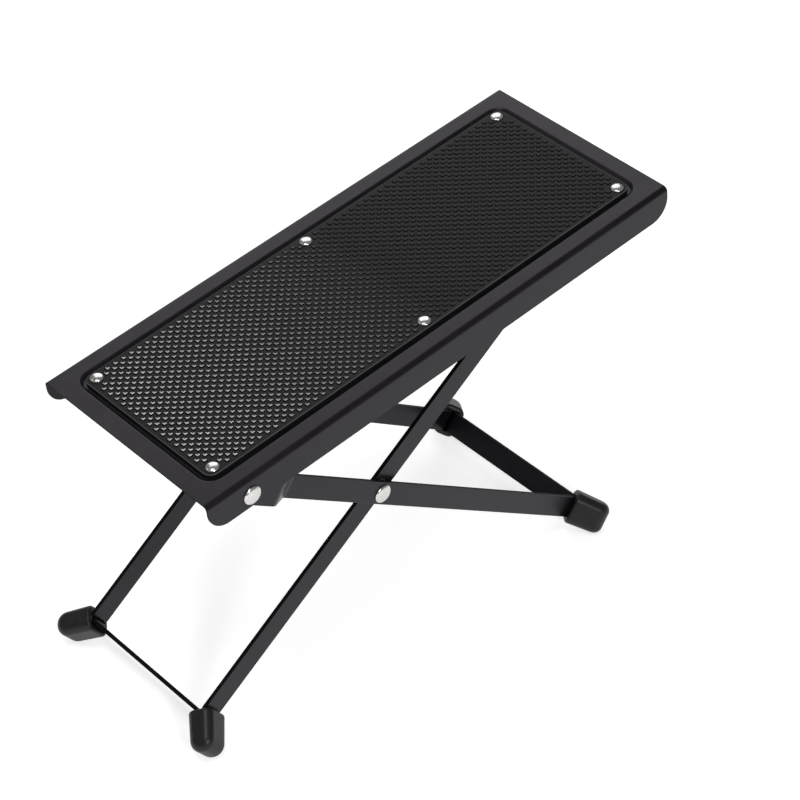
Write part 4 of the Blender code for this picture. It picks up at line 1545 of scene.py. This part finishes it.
@dataclass
class LegFrame:
    """U of flat strip with a folded ear at each lower corner."""

    name: str
    stock: Stock
    axes: Matrix
    leg: float
    outer: float
    top: list[Vector]
    top_radii: list[float]
    holes: list[tuple[float, float]]
    hairpin_share: float = 0.98
    corner_bend: float = 3 * MM
    crossbar_lean: float = 0.0
    end_share: float = 0.495
    end_steps: int = 12
    edge_ease: float = 0.3 * MM

    @property
    def half_pitch(self) -> float:
        """Half the distance between the middle lines of an ear's two runs."""
        return (self.stock.ear_slit + self.stock.strip) / 2

    def ear_points(self) -> list[Vector]:
        """Corner points of the near ear's middle line.

        Returns:
            Four points, out along one run and back along the other.
        """
        near, far = -self.half_pitch, self.half_pitch
        root = -(self.stock.strip * DIAGONAL + self.half_pitch)
        tip = self.stock.ear_reach - self.stock.strip / 2
        return [
            Vector((
                self.leg + (along + across) * DIAGONAL,
                -self.outer + (across - along) * DIAGONAL,
                0.0,
            ))
            for along, across in ((root, near), (tip, near), (tip, far), (root, far))
        ]

    def build(self) -> bpy.types.Object:
        """Bend the near half, mirror it and drill its holes.

        Returns:
            The finished frame.
        """
        piece = self._bend_half()
        piece.pick(Pick.FACES, lambda face: lies_at(face, Axis.Y, 0.0))
        bpy.ops.mesh.delete(type="FACE")
        piece.modifier("MIRROR", use_axis=(False, True, False), merge_threshold=TINY)
        turn_outwards()
        inside = self.outer - self.stock.strip - self.corner_bend / 2
        piece.pick(
            Pick.VERTS,
            lambda vert: vert.co.z > 0 and abs(vert.co.y) < inside and vert.co.x > self.leg / 2,
        )
        piece.shift(X_AXIS * self.crossbar_lean)
        for along, radius in self.holes:
            piece.cut_with(cross_pin(radius, along, self.stock.plate_width))
        piece.ease_edges(self.edge_ease)
        # The strip's edge faces carry the painted shade of the cut edges
        piece.mark(Mark.CUT_EDGE, lambda middle, normal: abs(normal.z) > FACING)
        return piece.finish(self.axes)

    def _bend_half(self) -> Workpiece:
        """Bend the near half and round the strip's upper end.

        Returns:
            The workpiece, in edit mode, with its lower end at the footrest's middle.
        """
        hairpin = self.half_pitch * self.hairpin_share
        ear = self.ear_points()
        bender = StripBender(self.name, self.stock, self.top[0])
        radii = [*self.top_radii, self.corner_bend, hairpin, hairpin, self.corner_bend]
        bender.through([*self.top[1:], *ear, Vector((ear[-1].x, 0.0, 0.0))], radii)
        start = self.top[0].x
        bender.piece.pick(Pick.EDGES, lambda edge: lies_at(edge, Axis.X, start) and span(edge, Axis.Z) < TINY)
        bender.piece.round_edges(self.stock.strip_width * self.end_share, self.end_steps)
        return bender.piece


@dataclass
class FootCap:
    """Blunt rubber cap on an ear: a U seen from the side, round all along, and flat where it stands."""

    stock: Stock
    mouth: float = 2.6 * MM
    tip: float = 16.7 * MM
    half_thickness: float = 5.9 * MM
    half_width: float = 7.95 * MM
    tip_radius: float = 5.7 * MM
    tip_steps: int = 14
    side_radius: float = 4 * MM
    side_steps: int = 9
    lip_radius: float = 1.5 * MM
    lip_steps: int = 4
    mouth_share: float = 1.05
    stand_reach: float = 6.6 * MM
    flare: float = 0.6 * MM
    overrun: float = 1 * MM
    edge_ease: float = 0.3 * MM
    ease_limit: float = math.radians(50)

    def build(self, name: str, down: Vector, sole: float, place: Matrix) -> bpy.types.Object:
        """Mould one cap.

        Args:
            name: the piece's name.
            down: direction of the floor in the cap's own axes.
            sole: distance from the stand point to the floor.
            place: matrix from the cap's axes to the footrest.

        Returns:
            The finished cap.
        """
        size = (self.tip + self.mouth, 2 * self.half_thickness)
        middle = Vector(((self.tip - self.mouth) / 2, 0.0, -self.half_width))
        at_mouth = TINY - self.mouth
        cap = Workpiece.sheet(name, size, middle)
        cap.pick(Pick.VERTS, lambda vert: vert.co.x > 0)
        cap.round_corners(self.tip_radius, self.tip_steps)
        cap.pick_all(Pick.FACES)
        cap.draw_out(Z_AXIS * 2 * self.half_width)
        turn_outwards()
        cap.pick(
            Pick.EDGES,
            lambda edge: span(edge, Axis.Z) < TINY and max(vert.co.x for vert in edge.verts) > at_mouth,
        )
        cap.round_edges(self.side_radius, self.side_steps)
        cap.pick(Pick.EDGES, lambda edge: all(vert.co.x < at_mouth for vert in edge.verts))
        cap.round_edges(self.lip_radius, self.lip_steps)
        cap.pick(Pick.VERTS, lambda vert: vert.co.x < 0)
        cap.scale(across=self.mouth_share, up=self.mouth_share)
        cap.pick_all(Pick.VERTS)
        bpy.ops.mesh.bisect(
            plane_co=X_AXIS * self.stand_reach + down * sole,
            plane_no=down,
            use_fill=True,
            clear_outer=True,
            threshold=HAIRLINE,
        )
        turn_outwards()
        cap.cut_with(self._pocket())
        cap.ease_edges(self.edge_ease, self.ease_limit)
        return cap.finish(place)

    def _pocket(self) -> Workpiece:
        """Make the cutter for the pocket that takes the ear, flared at its mouth.

        Returns:
            The cutter, left in object mode.
        """
        fit = self.stock.fit
        half = self.stock.ear_half + fit
        wide = 1 + self.flare / half
        start = -self.mouth - self.overrun
        size = (2 * half, self.stock.strip_width + 2 * fit)
        pocket = Workpiece.sheet("pocket_cutter", size, Z_AXIS * start)
        pocket.scale(wide)
        pocket.draw_out(Z_AXIS * (self.stock.ear_reach + fit - start))
        pocket.scale(1 / wide)
        turn_outwards()
        return pocket.laid_at(ON_EDGE)


@dataclass
class Fittings:
    """Rivets and washers of the joints, and the height rod."""

    stock: Stock
    linkage: Linkage
    head_radius: float = 4.55 * MM
    head_height: float = 1.6 * MM
    shank: float = 2.4 * MM
    tail: float = 3.5 * MM
    tail_height: float = 0.8 * MM
    pivot_washer: float = 1 * MM
    pivot_washer_radius: float = 5 * MM
    scissor_washer_radius: float = 5.5 * MM
    rod: float = 2.5 * MM
    rod_chamfer: float = 0.2 * MM
    rod_neck: float = 2 * MM
    rod_head: float = 2.9 * MM
    rod_head_height: float = 0.8 * MM
    rod_head_gap: float = 0.2 * MM
    rod_head_rings: int = 6

    def _rivet(self, name: str, grip: float, place: Matrix) -> bpy.types.Object:
        """Make one joint rivet.

        Args:
            name: the piece's name.
            grip: thickness of what it holds together.
            place: matrix from the rivet's axes to the footrest.

        Returns:
            The finished rivet.
        """
        pattern = Rivet(
            head_radius=self.head_radius,
            head_height=self.head_height,
            shank_radius=self.shank,
            tail_radius=self.tail,
            tail_height=self.tail_height,
            grip=grip,
        )
        return pattern.build(name).finish(place)

    def plate_pivot(self) -> tuple[bpy.types.Object, bpy.types.Object]:
        """Make the near plate pivot rivet and its washer.

        Returns:
            The rivet and the washer.
        """
        stock = self.stock
        middle = stock.tab_outer - stock.strip - stock.fit - self.pivot_washer / 2
        grip = stock.plate_width / 2 - middle + self.pivot_washer / 2
        seat = self.linkage.plate @ facing_near(0.0, -stock.plate_width / 2)
        rivet = self._rivet("plate_pivot_rivet_near_dressed", grip, seat)
        disc = Washer(self.pivot_washer_radius, stock.hole, self.pivot_washer)
        place = self.linkage.rear @ facing_near(0.0, -middle)
        return rivet, disc.build("plate_pivot_washer_near_dressed").finish(place)

    def scissor(self) -> tuple[bpy.types.Object, bpy.types.Object]:
        """Make the near scissor rivet and its washer.

        Returns:
            The rivet and the washer.
        """
        stock = self.stock
        middle = (stock.rear_outer - stock.strip + stock.front_outer) / 2
        grip = stock.rear_outer - stock.front_inner
        seat = self.linkage.rear @ facing_near(stock.scissor_reach, -stock.rear_outer)
        rivet = self._rivet("scissor_rivet_near_dressed", grip, seat)
        disc = Washer(self.scissor_washer_radius, stock.hole, stock.scissor_washer)
        place = self.linkage.rear @ facing_near(stock.scissor_reach, -middle)
        return rivet, disc.build("scissor_washer_near_dressed").finish(place)

    def height_rod(self) -> bpy.types.Object:
        """Turn the rod with a neck and a peened head at both ends.

        Returns:
            The finished rod.
        """
        shoulder = self.stock.front_inner - self.stock.fit
        seat = self.stock.front_outer + self.rod_head_gap
        chamfered = self.rod - self.rod_chamfer
        rod = Workpiece.ring("height_rod_dressed", self.rod, PIN_SIDES)
        rod.turned_step(shoulder - self.rod_chamfer)
        rod.turned_step(self.rod_chamfer, chamfered / self.rod)
        rod.turned_step(0.0, self.rod_neck / chamfered)
        rod.turned_step(seat - shoulder)
        rod.turned_step(0.0, self.rod_head / self.rod_neck)
        rod.dome(self.rod_head, self.rod_head_height, self.rod_head_rings)
        rod.modifier("MIRROR", use_axis=(False, False, True), merge_threshold=TINY)
        turn_outwards()
        return rod.finish(self.linkage.front @ facing_near(-self.stock.rod_reach, 0.0))


@dataclass(frozen=True)
class SoftBox:
    """Square soft box, placed by its direction and distance from the object."""

    name: str
    direction: tuple[float, float, float]
    size: float
    radiance: float
    distance: float = 1.1


@dataclass
class Studio:
    """Pale floor, soft boxes and the camera."""

    pivot: Vector
    camera_from_pivot: Vector = field(default_factory=lambda: Vector((-0.5241093, -0.685471, 0.6942213)))
    target_from_pivot: Vector = field(default_factory=lambda: Vector((0.1361522, 0.0, -0.0521963)))
    roll: float = math.radians(2.4225)
    focal_pixels: float = 2586.35
    frame_pixels: float = 800.0
    sensor: float = 36.0
    clip_start: float = 10 * MM
    lit_point: Vector = field(default_factory=lambda: Vector((0.0, 0.0, 0.1)))
    fill: float = 0.22
    sky: tuple[float, float, float, float] = (1.0, 1.0, 1.0, 1.0)
    floor_size: float = 12.0
    floor_colour: tuple[float, float, float, float] = (0.82, 0.82, 0.82, 1.0)
    floor_glow: float = 0.65
    floor_gloss: float = 0.5
    boxes: tuple[SoftBox, ...] = (
        SoftBox("right_back_window", (0.415, 0.634, 0.652), 0.8, 1.35),
        SoftBox("left_back_box", (-0.56, 0.566, 0.6), 0.28, 1.0),
        SoftBox("front_key", (-0.31, -0.8, 0.46), 0.22, 25.0),
        SoftBox("overhead_box", (-0.35, -0.1, 0.93), 0.4, 6.0),
    )

    def build(self) -> None:
        """Set up the whole studio."""
        scene = bpy.context.scene
        scene.view_settings.view_transform = "Standard"
        self._camera(scene)
        self._floor()
        self._world(scene)
        for box in self.boxes:
            self._soft_box(box, scene)

    def _camera(self, scene: bpy.types.Scene) -> None:
        """Add the camera.

        Args:
            scene: the scene that it belongs to.
        """
        data = bpy.data.cameras.new("camera")
        camera = bpy.data.objects.new("camera", data)
        scene.collection.objects.link(camera)
        data.sensor_fit = "HORIZONTAL"
        data.sensor_width = self.sensor
        data.lens = self.focal_pixels / self.frame_pixels * self.sensor
        data.clip_start = self.clip_start
        ahead = (self.target_from_pivot - self.camera_from_pivot).normalized()
        right = ahead.cross(Z_AXIS).normalized()
        up = right.cross(ahead)
        rolled = right * math.cos(self.roll) + up * math.sin(self.roll)
        upright = up * math.cos(self.roll) - right * math.sin(self.roll)
        turn = Matrix((rolled, upright, -ahead)).transposed().to_4x4()
        camera.matrix_world = Matrix.Translation(self.pivot + self.camera_from_pivot) @ turn
        scene.camera = camera

    def _floor(self) -> None:
        """Add the floor, which is white to the camera but for the soft shadow."""
        bpy.ops.object.select_all(action="DESELECT")
        bpy.ops.mesh.primitive_plane_add(size=self.floor_size)
        floor = bpy.context.object
        floor.name = "studio_floor"
        material = bpy.data.materials.new("floor_white")
        board = NodeBoard(material)
        seen = board.node("ShaderNodeLightPath", output="Is Camera Ray")
        mirrored = board.node("ShaderNodeLightPath", output="Is Glossy Ray")
        strength = seen * self.floor_glow + mirrored * self.floor_gloss
        diffuse = board.node("ShaderNodeBsdfDiffuse", {}, {"Color": self.floor_colour})
        glow = board.node("ShaderNodeEmission", {}, {"Strength": strength})
        both = board.node("ShaderNodeAddShader", {}, {0: diffuse, 1: glow})
        board.node("ShaderNodeOutputMaterial", {}, {"Surface": both})
        floor.data.materials.append(material)

    def _world(self, scene: bpy.types.Scene) -> None:
        """White surroundings to the camera and soft grey light for the object.

        Args:
            scene: the scene that they surround.
        """
        scene.world = bpy.data.worlds.new("studio")
        board = NodeBoard(scene.world)
        seen = board.node("ShaderNodeLightPath", output="Is Camera Ray")
        strength = seen * (1.0 - self.fill) + self.fill
        light = board.node("ShaderNodeBackground", {}, {"Color": self.sky, "Strength": strength})
        board.node("ShaderNodeOutputWorld", {}, {"Surface": light})

    def _soft_box(self, box: SoftBox, scene: bpy.types.Scene) -> None:
        """Add a square soft box that faces the object.

        Args:
            box: the soft box.
            scene: the scene that it lights.
        """
        data = bpy.data.lights.new(box.name, "AREA")
        data.shape = "SQUARE"
        data.size = box.size
        data.energy = box.radiance * math.pi * box.size ** 2
        lamp = bpy.data.objects.new(box.name, data)
        scene.collection.objects.link(lamp)
        direction = Vector(box.direction).normalized()
        turn = direction.to_track_quat("Z", "Y").to_matrix().to_4x4()
        lamp.matrix_world = Matrix.Translation(self.lit_point + direction * box.distance) @ turn


@dataclass
class Footrest:
    """The whole footrest, put together from its sub-assemblies."""

    stock: Stock = field(default_factory=Stock)
    linkage: Linkage = field(default_factory=Linkage)
    finishes: FinishSet = field(default_factory=FinishSet)
    rear_overhang: float = 2.2 * MM
    front_overhang: float = 5.7 * MM
    joggle_start: float = 19.2 * MM
    joggle_run: float = 13.9 * MM
    joggle_bend: float = 6 * MM
    crossbar_lean: float = 1.45 * MM

    def build_tread(self) -> TreadPlate:
        """Build the plate with its mat, rivets and racks.

        Returns:
            The plate's sizes.
        """
        plate = TreadPlate(self.stock, self.linkage.plate)
        mat = StuddedMat(plate)
        self.finishes.settle(plate.build(), "top_plate", Body.PLATE, Slot.PLATE_PAINT)
        self.finishes.settle(mat.build(), "rubber_mat", Body.PLATE, Slot.MAT_RUBBER)
        for number, rivet in enumerate(MatRivets(mat).build(), start=1):
            self.finishes.settle(rivet, f"mat_rivet_{number}", Body.PLATE, Slot.RIVET_NICKEL)
        self._settle_pair(NotchRack(plate).build(), "notch_rack", Body.PLATE, Slot.PLATE_PAINT)
        return plate

    def build_frames(self, plate: TreadPlate) -> None:
        """Build both leg frames with their foot caps.

        Args:
            plate: the plate's sizes.
        """
        for name, body, legs in (
            ("rear", Body.REAR_LEGS, self._rear_frame(plate)),
            ("front", Body.FRONT_LEGS, self._front_frame()),
        ):
            self.finishes.settle(legs.build(), f"{name}_leg_frame", body, Slot.FRAME_PAINT)
            self._cap_feet(f"foot_cap_{name}", body, legs)

    def build_fittings(self) -> None:
        """Build the joints' rivets and washers and the height rod."""
        fittings = Fittings(self.stock, self.linkage)
        pivot_rivet, pivot_washer = fittings.plate_pivot()
        scissor_rivet, scissor_washer = fittings.scissor()
        fixed = (
            (pivot_rivet, "plate_pivot_rivet", Body.PLATE, Slot.RIVET_NICKEL),
            (pivot_washer, "plate_pivot_washer", Body.REAR_LEGS, Slot.ZINC_STEEL),
            (scissor_rivet, "scissor_rivet", Body.REAR_LEGS, Slot.RIVET_NICKEL),
            (scissor_washer, "scissor_washer", Body.REAR_LEGS, Slot.ZINC_STEEL),
        )
        for side in Side:
            for near, label, body, slot in fixed:
                piece = near if side is Side.NEAR else copy_of(near, f"{label}_far_dressed", ACROSS)
                self.finishes.settle(piece, f"{label}_{side.label}", body, slot)
        self.finishes.settle(fittings.height_rod(), "height_rod", Body.FRONT_LEGS, Slot.ZINC_STEEL)

    def _rear_frame(self, plate: TreadPlate) -> LegFrame:
        """Size the rear frame, whose upper ends are joggled outwards.

        Args:
            plate: the plate's sizes.

        Returns:
            The frame's sizes.
        """
        stock = self.stock
        tab = stock.strip / 2 - stock.tab_outer
        leg = stock.strip / 2 - stock.rear_outer
        return LegFrame(
            name="rear_leg_frame_dressed",
            stock=stock,
            axes=self.linkage.rear,
            leg=plate.high + self.rear_overhang,
            outer=stock.rear_outer,
            top=[
                Vector((-stock.strip_width / 2, tab, 0.0)),
                Vector((self.joggle_start, tab, 0.0)),
                Vector((self.joggle_start + self.joggle_run, leg, 0.0)),
            ],
            top_radii=[self.joggle_bend, self.joggle_bend],
            holes=[(0.0, stock.hole), (stock.scissor_reach, stock.hole)],
        )

    def _front_frame(self) -> LegFrame:
        """Size the front frame, whose upper ends carry the rod.

        Returns:
            The frame's sizes.
        """
        stock = self.stock
        leg = stock.strip / 2 - stock.front_outer
        return LegFrame(
            name="front_leg_frame_dressed",
            stock=stock,
            axes=self.linkage.front,
            leg=stock.pivot_inset + stock.scissor_reach + self.front_overhang,
            outer=stock.front_outer,
            top=[Vector((-stock.rod_reach - stock.strip_width / 2, leg, 0.0))],
            top_radii=[],
            holes=[(0.0, stock.hole), (-stock.rod_reach, stock.rod_hole)],
            crossbar_lean=self.crossbar_lean,
        )

    def _cap_feet(self, label: str, body: Body, legs: LegFrame) -> None:
        """Put the two caps on a frame's ears.

        Args:
            label: the pair's name, without its side.
            body: the body that they ride on.
            legs: the frame.
        """
        cap = FootCap(self.stock)
        turn = Matrix.Rotation(-QUARTER_TURN / 2, 4, "Z")
        place = legs.axes @ Matrix.Translation((legs.leg, -legs.outer, 0.0)) @ turn
        stand = place @ (X_AXIS * cap.stand_reach)
        down = place.to_3x3().inverted() @ -Z_AXIS
        near = cap.build(f"{label}_near_dressed", down, stand.z, place)
        self._settle_pair(near, label, body, Slot.FOOT_RUBBER)

    def _settle_pair(self, near: bpy.types.Object, label: str, body: Body, slot: Slot) -> None:
        """Settle a near piece and its mirrored copy on the far side.

        Args:
            near: the finished near piece.
            label: the pair's name, without its side.
            body: the body that both ride on.
            slot: the slot of their finish.
        """
        far = copy_of(near, f"{label}_{Side.FAR.label}_dressed", ACROSS)
        for side, piece in ((Side.NEAR, near), (Side.FAR, far)):
            self.finishes.settle(piece, f"{label}_{side.label}", body, slot)


def main() -> None:
    """Build the studio and the footrest, and report each piece."""
    logging.basicConfig(level=logging.INFO, format="%(message)s", stream=sys.stdout)
    footrest = Footrest()
    Studio(footrest.linkage.pivot).build()
    plate = footrest.build_tread()
    footrest.build_frames(plate)
    footrest.build_fittings()


if __name__ == "__main__":
    main()
